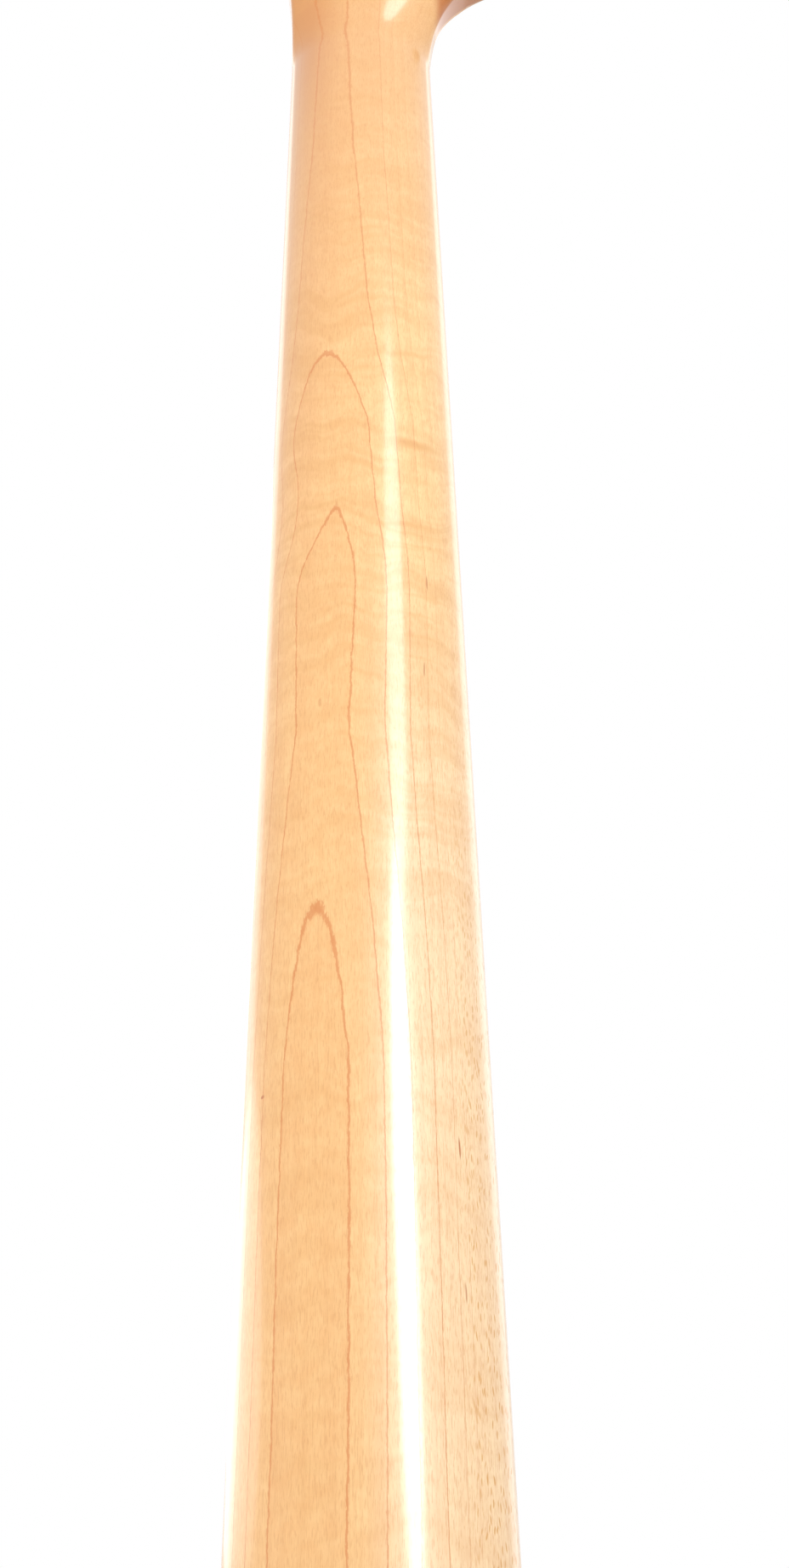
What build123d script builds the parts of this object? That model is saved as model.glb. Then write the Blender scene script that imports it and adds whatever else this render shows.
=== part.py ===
from build123d import *
from math import asin, atan, cos, degrees, pi, radians, sin, sqrt, tan
import os

# Electric bass guitar neck with its tuners, for bolting to a body.
# Frame: +Z runs along the neck to the headstock, +Y points out of the neck's back (the fretboard faces -Y),
# +X is the treble side. The origin is the centre of the heel's bolt pattern, on the heel's back face.
# All lengths are in millimetres.

# Strings, scale and overall layout
SCALE_LENGTH = 863.6
FRET_COUNT = 20
STRING_COUNT = 4
STRING_SPACING_AT_NUT = 10.3
HEEL_END_Z = -40.0
NUT_Z = 560.0
NUT_WIDTH = 41.3
HEEL_WIDTH = 62.5

# Neck thickness, as heights along Y
HEEL_BACK_Y = 0.0
GLUE_Y = -20.2
BOARD_TOP_Y = -25.4
BOARD_RADIUS = 241.0
BACK_Y_AT_NUT = -4.1
BACK_Y_AT_HEEL = -0.9
BACK_ROUNDNESS = 2.25
SIDE_FLAT_ALLOWANCE = 0.4

# Where the rounded back swells into the heel block and into the headstock, and by how much at the swell's end
HEEL_SWELL_START_Z = 86.0
HEEL_SWELL_LENGTH = 40.0
HEEL_SWELL_WIDTH = 22.0
HEEL_SWELL_ROUNDNESS = 0.8
HEEL_CORNER_RADIUS = 6.0
SCOOP_START_Z = 558.0
SCOOP_LENGTH = 42.0
SCOOP_WIDTH = 46.0
SCOOP_ROUNDNESS = 0.9
SWELL_DEPTH = 9.0
CARVE_HALF_WIDTH = 60.0
CARVE_MARGIN = 6.0

# Headstock
HEADSTOCK_FRONT_Y = -14.6
RAMP_RADIUS = 12.0
BASS_FLARE_START_Z = 560.0
BASS_FLARE_RADIUS = 33.0
BASS_FLARE_ANGLE = 73.0
BASS_CORNER_RADIUS = 9.0
TREBLE_FLARE_START_Z = 565.0
TREBLE_FLARE_RADIUS = 135.0
TREBLE_FLARE_ANGLE = 6.2
HEADSTOCK_TIP_Z = 800.0
TIP_CORNER_RADIUS = 17.0
TIP_CROWN = 5.0
BACK_EDGE_ROUND = 2.2
FRONT_EDGE_ROUND = 1.0

# Heel bolt pattern
BOLT_SPACING_X = 38.1
BOLT_SPACING_Z = 50.8
BOLT_PILOT_RADIUS = 1.6
BOLT_PILOT_DEPTH = 16.0

# Fretboard, frets, nut and inlays
NUT_THICKNESS = 3.3
NUT_BOTTOM_Y = -22.0
NUT_RISE = 2.2
STRING_GAUGES = (2.67, 2.16, 1.65, 1.14)
BOARD_LIP = 3.0
FRET_WIDTH = 2.7
FRET_HEIGHT = 1.2
FRET_TANG_WIDTH = 0.55
FRET_TANG_DEPTH = 1.6
FRET_END_BEVEL = 30.0
DOT_RADIUS = 3.2
DOT_DEPTH = 1.6
SIDE_DOT_RADIUS = 1.0
SIDE_DOT_DEPTH = 2.0
SIDE_DOT_Y = -21.7
SINGLE_DOT_FRETS = (3, 5, 7, 9, 15, 17, 19)
DOUBLE_DOT_FRET = 12

# Truss rod
CHANNEL_WIDTH = 6.5
CHANNEL_FLOOR_Y = -11.2
ROD_AXIS_Y = -14.2
ROD_RADIUS = 2.45
ROD_BORE_RADIUS = 2.5
ROD_BLOCK_LENGTH = 12.0
HEEL_BLOCK_Z = -16.0
HEAD_BLOCK_Z = 539.0
BAR_THICKNESS = 3.0
BAR_WIDTH = 6.0
ADJUSTER_RADIUS = 3.6
ADJUSTER_LENGTH = 13.0
ADJUSTER_SOCKET = 4.0
ACCESS_RADIUS = 4.2
ACCESS_END_Z = 584.0

# Tuners: the first post, the step from post to post, and the headstock edge that they follow
FIRST_POST = (-20.0, 624.0)
POST_STEP = (9.0, 40.0)
TUNER_COUNT = 4
POST_HOLE_RADIUS = 7.2
POST_RADIUS = 4.75
POST_BORE_RADIUS = 4.8
POST_TOP = 22.0
POST_WAIST_RADIUS = 3.9
POST_SQUARE = 5.0
COLLAR_RADIUS = 6.2
COLLAR_THICKNESS = 1.6
JOURNAL_RADIUS = 4.0
JOURNAL_BORE_RADIUS = 4.05
BUSHING_DEPTH = 9.0
FLANGE_RADIUS = 9.5
FLANGE_THICKNESS = 1.4

# Worm and gear
MODULE = 1.0
GEAR_TEETH = 20
GEAR_THICKNESS = 3.6
GEAR_HUB_RADIUS = 6.0
MESH_HEIGHT = 6.2
WORM_PITCH_RADIUS = 3.5
WORM_TIP_RADIUS = 4.3
WORM_ROOT_RADIUS = 2.5
WORM_LENGTH = 12.0
TOOTH_THICKNESS = 1.25
THREAD_THICKNESS = 1.2
PRESSURE_ANGLE = 20.0
GEAR_TIP_RADIUS = 10.7
GEAR_ROOT_RADIUS = 8.75
WORM_SHAFT_RADIUS = 2.5
LUG_BORE_RADIUS = 2.55
WORM_COLLAR_RADIUS = 3.2
WORM_SHAFT_INNER = 9.4
GEAR_SCREW_RADIUS = 1.5
GEAR_SCREW_HEAD_RADIUS = 3.6

# Tuner baseplate, in the tuner's own axes: x outward to the key, y to the headstock's tip, z out of the back
PLATE_THICKNESS = 1.5
PLATE_X = (-16.0, 19.0)
PLATE_Y = (-11.0, 23.0)
PLATE_CORNER = 3.0
LUG_THICKNESS = 1.6
LUG_INNER_X = 7.0
LUG_RADIUS = 5.2
SCREW_X = (-12.8, 15.8)
SCREW_Y = (-7.5, 19.6)
SCREW_RADIUS = 1.4
SCREW_HOLE_RADIUS = 1.6
SCREW_LENGTH = 11.0
SCREW_HEAD_RADIUS = 2.6
SCREW_HEAD_HEIGHT = 1.8

# Key
KEY_BOSS_X = 29.5
KEY_CENTRE_X = 46.0
KEY_HALF_LENGTH = 12.0
KEY_HALF_WIDTH = 13.0
KEY_THICKNESS = 6.4
KEY_BOSS_RADIUS = 4.0
KEY_EDGE_ROUND = 2.4
KEY_REST_TURN = 90.0

# String guide
GUIDE_X = 8.5
GUIDE_Z = 628.0
GUIDE_HEIGHT = 6.0
GUIDE_RADIUS = 5.5
GUIDE_STEM_RADIUS = 3.0
GUIDE_SCREW_DEPTH = 11.0

BACK_FACE = Plane.XZ
WORM_CENTRE_DISTANCE = MODULE * GEAR_TEETH / 2 + WORM_PITCH_RADIUS
LEAD = pi * MODULE
TOOTH_STEP = 2 * pi / GEAR_TEETH
GEAR_PHASE = pi / 2 - TOOTH_STEP / 4
LEAD_ANGLE = atan(LEAD / (2 * pi * WORM_PITCH_RADIUS))


def neck_width(z):
    """Width of the neck and fretboard at height z."""
    taper = (HEEL_WIDTH - NUT_WIDTH) / (NUT_Z - HEEL_END_Z)
    return NUT_WIDTH + taper * (NUT_Z - z)


def fret_z(number):
    """Height of a fret, counted from the nut."""
    return NUT_Z - SCALE_LENGTH * (1 - 2 ** (-number / 12))


def slab(face_xz, y_low, y_high):
    """A face drawn in the XZ plane, extruded between two heights in Y."""
    return Pos(0, y_high, 0) * extrude(face_xz, amount=y_high - y_low)


def box_between(low, high):
    """A box from its lowest to its highest corner."""
    size = [b - a for a, b in zip(low, high)]
    return Pos(*low) * Box(*size, align=(Align.MIN, Align.MIN, Align.MIN))


def cylinder_y(x, z, radius, y_low, y_high):
    """A cylinder along Y."""
    centre = (x, (y_low + y_high) / 2, z)
    return Pos(*centre) * Rot(90, 0, 0) * Cylinder(radius, y_high - y_low)


def cylinder_z(x, y, radius, z_low, z_high):
    """A cylinder along Z."""
    return Pos(x, y, (z_low + z_high) / 2) * Cylinder(radius, z_high - z_low)


# ---------------------------------------------------------------- neck

def neck_outline():
    """Plan outline of the wooden neck: tapered shaft and headstock."""
    heading = degrees(atan(POST_STEP[0] / POST_STEP[1]))
    taper_angle = degrees(atan((HEEL_WIDTH - NUT_WIDTH) / 2 / (NUT_Z - HEEL_END_Z)))
    bass_start = (-neck_width(BASS_FLARE_START_Z) / 2, BASS_FLARE_START_Z)
    treble_start = (neck_width(TREBLE_FLARE_START_Z) / 2, TREBLE_FLARE_START_Z)
    heel_bass = (-neck_width(HEEL_END_Z) / 2, HEEL_END_Z)
    heel_treble = (neck_width(HEEL_END_Z) / 2, HEEL_END_Z)

    bass_flare = JernArc(bass_start, direction(taper_angle), BASS_FLARE_RADIUS, BASS_FLARE_ANGLE)
    turn = BASS_FLARE_ANGLE - taper_angle + heading
    bass_corner = JernArc(bass_flare @ 1, bass_flare % 1, BASS_CORNER_RADIUS, -turn)
    treble_flare = JernArc(treble_start, direction(-taper_angle), TREBLE_FLARE_RADIUS, -TREBLE_FLARE_ANGLE)

    edge_start = bass_corner @ 1
    bass_tip = along(edge_start, direction(heading), HEADSTOCK_TIP_Z)
    treble_heading = treble_flare % 1
    treble_tip = along(treble_flare @ 1, (treble_heading.X, treble_heading.Y), HEADSTOCK_TIP_Z)
    tip_middle = ((bass_tip[0] + treble_tip[0]) / 2, HEADSTOCK_TIP_Z + TIP_CROWN)

    with BuildSketch() as outline:
        with BuildLine():
            Line(heel_treble, heel_bass)
            Line(heel_bass, bass_start)
            add(bass_flare)
            add(bass_corner)
            Line(edge_start, bass_tip)
            ThreePointArc(bass_tip, tip_middle, treble_tip)
            Line(treble_tip, treble_flare @ 1)
            add(treble_flare)
            Line(treble_start, heel_treble)
        make_face()
        tips = outline.vertices().sort_by(Axis.Y)[-2:]
        fillet(tips, TIP_CORNER_RADIUS)
        heels = outline.vertices().sort_by(Axis.Y)[:2]
        fillet(heels, HEEL_CORNER_RADIUS)
    return BACK_FACE * outline.sketch


def direction(angle_to_treble):
    """Unit vector in the plan: 0 points to the headstock, positive angles lean to the treble side."""
    return (sin(radians(angle_to_treble)), cos(radians(angle_to_treble)))


def along(start, heading, z_end):
    """Where a line from start reaches z_end."""
    run = (z_end - start.Y) / heading[1]
    return (start.X + heading[0] * run, z_end)


def side_profile():
    """Side view of the wooden blank: flat back, glue plane, ramp and headstock face."""
    ramp_drop = HEADSTOCK_FRONT_Y - GLUE_Y
    ramp_run = sqrt(RAMP_RADIUS ** 2 - (RAMP_RADIUS - ramp_drop) ** 2)
    board_end = NUT_Z + NUT_THICKNESS + BOARD_LIP
    tip = HEADSTOCK_TIP_Z + 2 * TIP_CROWN
    foot = (HEADSTOCK_FRONT_Y, board_end + ramp_run)
    with BuildSketch(Plane.YZ) as profile:
        with BuildLine():
            Line((GLUE_Y, HEEL_END_Z), (HEEL_BACK_Y, HEEL_END_Z))
            Line((HEEL_BACK_Y, HEEL_END_Z), (HEEL_BACK_Y, tip))
            Line((HEEL_BACK_Y, tip), (HEADSTOCK_FRONT_Y, tip))
            Line((HEADSTOCK_FRONT_Y, tip), foot)
            JernArc(foot, (0, -1), RAMP_RADIUS, -degrees(asin(ramp_run / RAMP_RADIUS)))
            Line((GLUE_Y, board_end), (GLUE_Y, HEEL_END_Z))
        make_face()
    return extrude(profile.sketch, amount=HEEL_WIDTH, both=True)


def back_depth(z):
    """Depth of the rounded back behind the glue plane, before it swells into heel and headstock."""
    share = (NUT_Z - z) / (NUT_Z - HEEL_END_Z)
    return BACK_Y_AT_NUT - GLUE_Y + share * (BACK_Y_AT_HEEL - BACK_Y_AT_NUT)


def carve_section(z):
    """One cross-section of the rounded carve: half width, depth and roundness."""
    heel_swell = max(0.0, (HEEL_SWELL_START_Z - z) / HEEL_SWELL_LENGTH)
    scoop_swell = max(0.0, (z - SCOOP_START_Z) / SCOOP_LENGTH)
    heel, scoop = heel_swell ** 2, scoop_swell ** 2
    half_width = neck_width(z) / 2 + SIDE_FLAT_ALLOWANCE + HEEL_SWELL_WIDTH * heel + SCOOP_WIDTH * scoop
    depth = back_depth(z) + SWELL_DEPTH * (heel + scoop)
    roundness = BACK_ROUNDNESS + HEEL_SWELL_ROUNDNESS * heel + SCOOP_ROUNDNESS * scoop
    return half_width, depth, roundness


def carve_wire(z):
    """A superellipse arch across the back, closed in front of the glue plane."""
    half_width, depth, roundness = carve_section(z)
    steps = 28
    arch = []
    for step in range(steps + 1):
        turn = pi * step / steps
        across = abs(cos(turn)) ** (2 / roundness) * half_width
        back = sin(turn) ** (2 / roundness) * depth if 0 < step < steps else 0.0
        arch.append((across if turn < pi / 2 else -across, GLUE_Y + back, z))
    front_y = GLUE_Y - CARVE_MARGIN
    right, left = arch[0], arch[-1]
    right_front = (right[0], front_y, z)
    left_front = (left[0], front_y, z)
    with BuildLine() as wire:
        Spline(*arch, tangents=[(0, 1, 0), (0, -1, 0)])
        Line(left, left_front)
        Line(left_front, right_front)
        Line(right_front, right)
    return make_face(wire.line)


def carve_solids():
    """The tube that rounds the back of the blank, from heel block to headstock."""
    heel_end = HEEL_SWELL_START_Z - HEEL_SWELL_LENGTH
    scoop_end = SCOOP_START_Z + SCOOP_LENGTH
    steps = 7
    heel_zs = [heel_end + HEEL_SWELL_LENGTH * step / steps for step in range(steps + 1)]
    scoop_zs = [SCOOP_START_Z + SCOOP_LENGTH * step / steps for step in range(steps + 1)]
    heel_swell = loft([carve_wire(z) for z in heel_zs])
    shaft = loft([carve_wire(HEEL_SWELL_START_Z), carve_wire(SCOOP_START_Z)], ruled=True)
    scoop = loft([carve_wire(z) for z in scoop_zs])
    front_y, back_y = GLUE_Y - CARVE_MARGIN, HEEL_BACK_Y + CARVE_MARGIN
    heel_low = (-CARVE_HALF_WIDTH, front_y, HEEL_END_Z - CARVE_MARGIN)
    heel_block = box_between(heel_low, (CARVE_HALF_WIDTH, back_y, heel_end))
    tip = HEADSTOCK_TIP_Z + TIP_CROWN + CARVE_MARGIN
    head_block = box_between((-CARVE_HALF_WIDTH, front_y, scoop_end), (CARVE_HALF_WIDTH, back_y, tip))
    return [heel_block, heel_swell, shaft, scoop, head_block]


def neck_blank():
    """The shaped maple before anything is drilled."""
    prism = slab(neck_outline(), GLUE_Y, HEEL_BACK_Y)
    prism = fillet(prism.faces().sort_by(Axis.Y)[-1].outer_wire().edges(), BACK_EDGE_ROUND)
    blank = prism & side_profile()
    shaped = [blank & carve for carve in carve_solids()]
    wood = shaped[0] + shaped[1] + shaped[2] + shaped[3] + shaped[4]
    front = wood.faces().filter_by(lambda face: abs(face.center().Y - HEADSTOCK_FRONT_Y) < 0.01)[0]
    rim = front.outer_wire().edges().filter_by(lambda edge: edge.center().Z > ACCESS_END_Z)
    return fillet(rim, FRONT_EDGE_ROUND)


def truss_channel():
    """Channel for the truss rod, its adjuster pocket and the access slot in the headstock."""
    half = CHANNEL_WIDTH / 2
    channel = box_between((-half, GLUE_Y - 1, HEEL_BLOCK_Z), (half, CHANNEL_FLOOR_Y, ACCESS_END_Z - 20))
    pocket_start = HEAD_BLOCK_Z + ROD_BLOCK_LENGTH
    pocket = cylinder_z(0, ROD_AXIS_Y, ACCESS_RADIUS, pocket_start, ACCESS_END_Z - ACCESS_RADIUS)
    slot_low = (-ACCESS_RADIUS, GLUE_Y - 1, pocket_start)
    slot = box_between(slot_low, (ACCESS_RADIUS, ROD_AXIS_Y, ACCESS_END_Z - ACCESS_RADIUS))
    round_end = Pos(0, ROD_AXIS_Y, ACCESS_END_Z - ACCESS_RADIUS) * Sphere(ACCESS_RADIUS)
    slot_end = cylinder_y(0, ACCESS_END_Z - ACCESS_RADIUS, ACCESS_RADIUS, GLUE_Y - 1, ROD_AXIS_Y)
    return channel + pocket + slot + slot_end + round_end


def neck():
    """The maple neck with every hole that its fittings need."""
    wood = neck_blank() - truss_channel()
    for x in (-BOLT_SPACING_X / 2, BOLT_SPACING_X / 2):
        for z in (-BOLT_SPACING_Z / 2, BOLT_SPACING_Z / 2):
            wood -= cylinder_y(x, z, BOLT_PILOT_RADIUS, HEEL_BACK_Y - BOLT_PILOT_DEPTH, HEEL_BACK_Y + 1)
    through = HEADSTOCK_FRONT_Y - 1
    for place in tuner_places():
        wood -= place * cylinder_z(0, 0, POST_HOLE_RADIUS, through, 1)
        for x, y in screw_positions():
            wood -= place * cylinder_z(x, y, SCREW_RADIUS, -SCREW_LENGTH + PLATE_THICKNESS, 1)
    guide_hole_end = HEADSTOCK_FRONT_Y + GUIDE_SCREW_DEPTH
    wood -= cylinder_y(GUIDE_X, GUIDE_Z, SCREW_RADIUS, HEADSTOCK_FRONT_Y - 1, guide_hole_end)
    return wood


# ---------------------------------------------------------------- fretboard, frets, nut, inlays

def board_outline():
    """Plan outline of the fretboard."""
    board_end = NUT_Z + NUT_THICKNESS + BOARD_LIP
    bottom = neck_width(HEEL_END_Z) / 2
    top = neck_width(board_end) / 2
    with BuildSketch() as outline:
        with BuildLine():
            Polyline((-bottom, HEEL_END_Z), (bottom, HEEL_END_Z), (top, board_end))
            Polyline((top, board_end), (-top, board_end), (-bottom, HEEL_END_Z))
        make_face()
        fillet(outline.vertices().sort_by(Axis.Y)[:2], HEEL_CORNER_RADIUS)
    return BACK_FACE * outline.sketch


def camber(rise, z_low=HEEL_END_Z - 5, z_high=NUT_Z + 20):
    """A cylinder whose front follows the fretboard's radius, raised by rise."""
    axis_y = BOARD_TOP_Y + BOARD_RADIUS
    return cylinder_z(0, axis_y, BOARD_RADIUS + rise, z_low, z_high)


def dot_cylinders():
    """Round inlay blanks for the face, standing through the surface."""
    dots = []
    for number in SINGLE_DOT_FRETS:
        dots.append((0.0, (fret_z(number) + fret_z(number - 1)) / 2))
    double_z = (fret_z(DOUBLE_DOT_FRET) + fret_z(DOUBLE_DOT_FRET - 1)) / 2
    for side in (-1, 1):
        dots.append((side * neck_width(double_z) / 4, double_z))
    top = BOARD_TOP_Y - 1
    return [cylinder_y(x, z, DOT_RADIUS, top, BOARD_TOP_Y + DOT_DEPTH + 0.4) for x, z in dots]


def side_dot_cylinders():
    """Round inlay blanks for the bass edge of the fretboard."""
    places = [(fret_z(n) + fret_z(n - 1)) / 2 for n in SINGLE_DOT_FRETS]
    double_z = (fret_z(DOUBLE_DOT_FRET) + fret_z(DOUBLE_DOT_FRET - 1)) / 2
    places += [double_z - 4, double_z + 4]
    dots = []
    for z in places:
        edge = -neck_width(z) / 2
        reach = SIDE_DOT_DEPTH + 1
        centre = (edge + SIDE_DOT_DEPTH - reach / 2, SIDE_DOT_Y, z)
        dots.append(Pos(*centre) * Rot(0, 90, 0) * Cylinder(SIDE_DOT_RADIUS, reach))
    return dots


def fretboard():
    """Radiused fretboard with slots for the frets, the nut and the dots."""
    wood = slab(board_outline(), BOARD_TOP_Y - 1, GLUE_Y) & camber(0)
    wide = HEEL_WIDTH
    for number in range(1, FRET_COUNT + 1):
        z = fret_z(number)
        half = FRET_TANG_WIDTH / 2
        slot = box_between((-wide, BOARD_TOP_Y - 1, z - half), (wide, GLUE_Y, z + half))
        wood -= slot - camber(-FRET_TANG_DEPTH, z - 1, z + 1)
    wood -= box_between((-wide, BOARD_TOP_Y - 1, NUT_Z), (wide, NUT_BOTTOM_Y, NUT_Z + NUT_THICKNESS))
    for dot in dot_cylinders() + side_dot_cylinders():
        wood -= dot
    return wood


def frets():
    """Fret wires: a domed crown on a tang, bent to the board's radius, with bevelled ends."""
    axis_y = BOARD_TOP_Y + BOARD_RADIUS
    half = FRET_WIDTH / 2
    tang = FRET_TANG_WIDTH / 2
    sweep_angle = 2 * degrees(asin(HEEL_WIDTH / 2 / BOARD_RADIUS)) + 2
    with BuildSketch() as profile:
        with BuildLine():
            ThreePointArc((-half, 0), (0, FRET_HEIGHT), (half, 0))
            Line((half, 0), (tang, 0))
            Line((tang, 0), (tang, -FRET_TANG_DEPTH))
            Line((tang, -FRET_TANG_DEPTH), (-tang, -FRET_TANG_DEPTH))
            Line((-tang, -FRET_TANG_DEPTH), (-tang, 0))
            Line((-tang, 0), (-half, 0))
        make_face()
    surface_y = axis_y - sqrt(BOARD_RADIUS ** 2 - (neck_width(fret_z(8)) / 2) ** 2)
    straight = slab(board_outline(), BOARD_TOP_Y - 3, GLUE_Y)
    overhang = (GLUE_Y - surface_y) * tan(radians(FRET_END_BEVEL))
    bevel_base = Pos(0, GLUE_Y, 0) * offset(board_outline(), overhang, kind=Kind.INTERSECTION)
    bevel = extrude(bevel_base, amount=8, taper=FRET_END_BEVEL)
    wires = []
    for number in range(1, FRET_COUNT + 1):
        place = Plane(origin=(0, BOARD_TOP_Y, fret_z(number)), x_dir=(0, 0, 1), z_dir=(1, 0, 0))
        section = place * profile.sketch
        wire = revolve(section, Axis((0, axis_y, 0), (0, 0, 1)), sweep_angle)
        wire = Pos(0, axis_y, 0) * Rot(0, 0, -sweep_angle / 2) * Pos(0, -axis_y, 0) * wire
        wires.append(wire & straight & bevel)
    return Compound(children=[w.solid() for w in wires])


def string_xs():
    """Where each string crosses the nut, from the bass side."""
    middle = (STRING_COUNT - 1) / 2
    return [(index - middle) * STRING_SPACING_AT_NUT for index in range(STRING_COUNT)]


def nut():
    """Bone nut with a groove for each string."""
    half = neck_width(NUT_Z) / 2
    low = (-half, BOARD_TOP_Y - 4, NUT_Z)
    bone = box_between(low, (half, NUT_BOTTOM_Y, NUT_Z + NUT_THICKNESS))
    bone &= camber(NUT_RISE)
    for x, gauge in zip(string_xs(), STRING_GAUGES):
        bone -= cylinder_z(x, BOARD_TOP_Y - NUT_RISE + gauge * 0.15, gauge / 2 + 0.1, NUT_Z - 1, NUT_Z + 6)
    return bone


def position_dots():
    return Compound(children=[(dot & camber(0)).solid() for dot in dot_cylinders()])


def side_dots():
    board = slab(board_outline(), BOARD_TOP_Y - 1, GLUE_Y)
    return Compound(children=[(dot & board).solid() for dot in side_dot_cylinders()])


# ---------------------------------------------------------------- truss rod

def truss_rod_block(z_low):
    """An anchor block with a bore for the turning rod."""
    half = CHANNEL_WIDTH / 2 - 0.05
    block = box_between((-half, GLUE_Y, z_low), (half, CHANNEL_FLOOR_Y, z_low + ROD_BLOCK_LENGTH))
    return block - cylinder_z(0, ROD_AXIS_Y, ROD_BORE_RADIUS, z_low - 1, z_low + ROD_BLOCK_LENGTH + 1)


def truss_rod_bar():
    """The flat bar that joins the two blocks."""
    half = BAR_WIDTH / 2
    low = (-half, GLUE_Y, HEEL_BLOCK_Z + ROD_BLOCK_LENGTH)
    return box_between(low, (half, GLUE_Y + BAR_THICKNESS, HEAD_BLOCK_Z))


def truss_rod_screw():
    """The rod that turns in both blocks, with its socketed adjuster at the headstock end."""
    rod_end = HEAD_BLOCK_Z + ROD_BLOCK_LENGTH
    adjuster_z = rod_end + 0.5
    adjuster_end = adjuster_z + ADJUSTER_LENGTH
    rod = cylinder_z(0, ROD_AXIS_Y, ROD_RADIUS, HEEL_BLOCK_Z + 2, adjuster_z)
    barrel = cylinder_z(0, ROD_AXIS_Y, ADJUSTER_RADIUS, adjuster_z, adjuster_end)
    barrel = chamfer(barrel.edges(), 0.5)
    across_corners = ADJUSTER_SOCKET / cos(pi / 6)
    hexagon = Pos(0, ROD_AXIS_Y, adjuster_end - 6) * RegularPolygon(across_corners / 2, 6)
    return rod + barrel - extrude(hexagon, amount=8)


# ---------------------------------------------------------------- string guide

def string_guide():
    """Round retainer that holds two strings down, turned about its screw's axis."""
    lip = GUIDE_HEIGHT - 1.8
    with BuildSketch(Plane.XZ) as profile:
        with BuildLine():
            Polyline((SCREW_RADIUS + 0.1, 0), (GUIDE_STEM_RADIUS, 0), (GUIDE_STEM_RADIUS, lip - 1.2))
            JernArc((GUIDE_STEM_RADIUS, lip - 1.2), (0, 1), 1.2, -90)
            Line((GUIDE_STEM_RADIUS + 1.2, lip), (GUIDE_RADIUS, lip))
            Line((GUIDE_RADIUS, lip), (GUIDE_RADIUS, lip + 0.8))
            JernArc((GUIDE_RADIUS, lip + 0.8), (0, 1), 1.0, 90)
            Line((GUIDE_RADIUS - 1.0, GUIDE_HEIGHT), (SCREW_RADIUS + 0.1, GUIDE_HEIGHT))
            Line((SCREW_RADIUS + 0.1, GUIDE_HEIGHT), (SCREW_RADIUS + 0.1, 0))
        make_face()
    turned = revolve(profile.sketch, Axis.Z)
    return front_place(GUIDE_X, GUIDE_Z) * turned


def string_guide_screw():
    length = GUIDE_HEIGHT + GUIDE_SCREW_DEPTH
    return front_place(GUIDE_X, GUIDE_Z) * Pos(0, 0, GUIDE_HEIGHT) * wood_screw(length)


def front_place(x, z):
    """Axes on the headstock's front face, with local z pointing out of it."""
    return Plane(origin=(x, HEADSTOCK_FRONT_Y, z), x_dir=(1, 0, 0), z_dir=(0, -1, 0)).location


def wood_screw(length):
    """Domed screw with a cross recess: its head sits on z = 0 and its shank runs down."""
    tip = 3.0
    with BuildSketch(Plane.XZ) as profile:
        with BuildLine():
            Line((0, SCREW_HEAD_HEIGHT), (0, -length))
            Line((0, -length), (SCREW_RADIUS, -length + tip))
            Line((SCREW_RADIUS, -length + tip), (SCREW_RADIUS, 0))
            Line((SCREW_RADIUS, 0), (SCREW_HEAD_RADIUS, 0))
            Line((SCREW_HEAD_RADIUS, 0), (SCREW_HEAD_RADIUS, 0.5))
            ThreePointArc((SCREW_HEAD_RADIUS, 0.5), (SCREW_HEAD_RADIUS * 0.66, 1.42), (0, SCREW_HEAD_HEIGHT))
        make_face()
    screw = revolve(profile.sketch, Axis.Z)
    recess = Box(2.8, 0.6, 2.2) + Box(0.6, 2.8, 2.2)
    return screw - Pos(0, 0, SCREW_HEAD_HEIGHT) * recess


# ---------------------------------------------------------------- tuners

def tuner_places():
    """Each tuner's axes: x outward to the key, y along the edge to the tip, z out of the back."""
    step = Vector(POST_STEP[0], 0, POST_STEP[1])
    towards_tip = step.normalized()
    outward = Vector(-towards_tip.Z, 0, towards_tip.X)
    first = Vector(FIRST_POST[0], HEEL_BACK_Y, FIRST_POST[1])
    places = []
    for index in range(TUNER_COUNT):
        places.append(Plane(origin=first + step * index, x_dir=outward, z_dir=(0, 1, 0)).location)
    return places


def screw_positions():
    return [(x, y) for x in SCREW_X for y in SCREW_Y]


def tuner_plate():
    """Stamped baseplate with two turned-up lugs that carry the worm."""
    width = PLATE_X[1] - PLATE_X[0]
    length = PLATE_Y[1] - PLATE_Y[0]
    centre = (sum(PLATE_X) / 2, sum(PLATE_Y) / 2)
    plate = extrude(Pos(*centre) * RectangleRounded(width, length, PLATE_CORNER), amount=PLATE_THICKNESS)
    plate = chamfer(plate.faces().sort_by(Axis.Z)[-1].outer_wire().edges(), 0.4)
    worm_y = WORM_CENTRE_DISTANCE
    for side in (-1, 1):
        with BuildSketch(Plane.YZ) as outline:
            with BuildLine():
                Line((worm_y - LUG_RADIUS, 0), (worm_y + LUG_RADIUS, 0))
                Line((worm_y + LUG_RADIUS, 0), (worm_y + LUG_RADIUS, MESH_HEIGHT))
                JernArc((worm_y + LUG_RADIUS, MESH_HEIGHT), (0, 1), LUG_RADIUS, 180)
                Line((worm_y - LUG_RADIUS, MESH_HEIGHT), (worm_y - LUG_RADIUS, 0))
            make_face()
        lug = extrude(outline.sketch, amount=LUG_THICKNESS / 2, both=True)
        plate += Pos(side * (LUG_INNER_X + LUG_THICKNESS / 2), 0, 0) * lug
    reach = 2 * (LUG_INNER_X + LUG_THICKNESS) + 2
    plate -= Pos(0, worm_y, MESH_HEIGHT) * Rot(0, 90, 0) * Cylinder(LUG_BORE_RADIUS, reach)
    plate -= Cylinder(JOURNAL_BORE_RADIUS, 10)
    for x, y in screw_positions():
        plate -= Pos(x, y, 0) * Cylinder(SCREW_HOLE_RADIUS, 10)
    return plate


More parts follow.
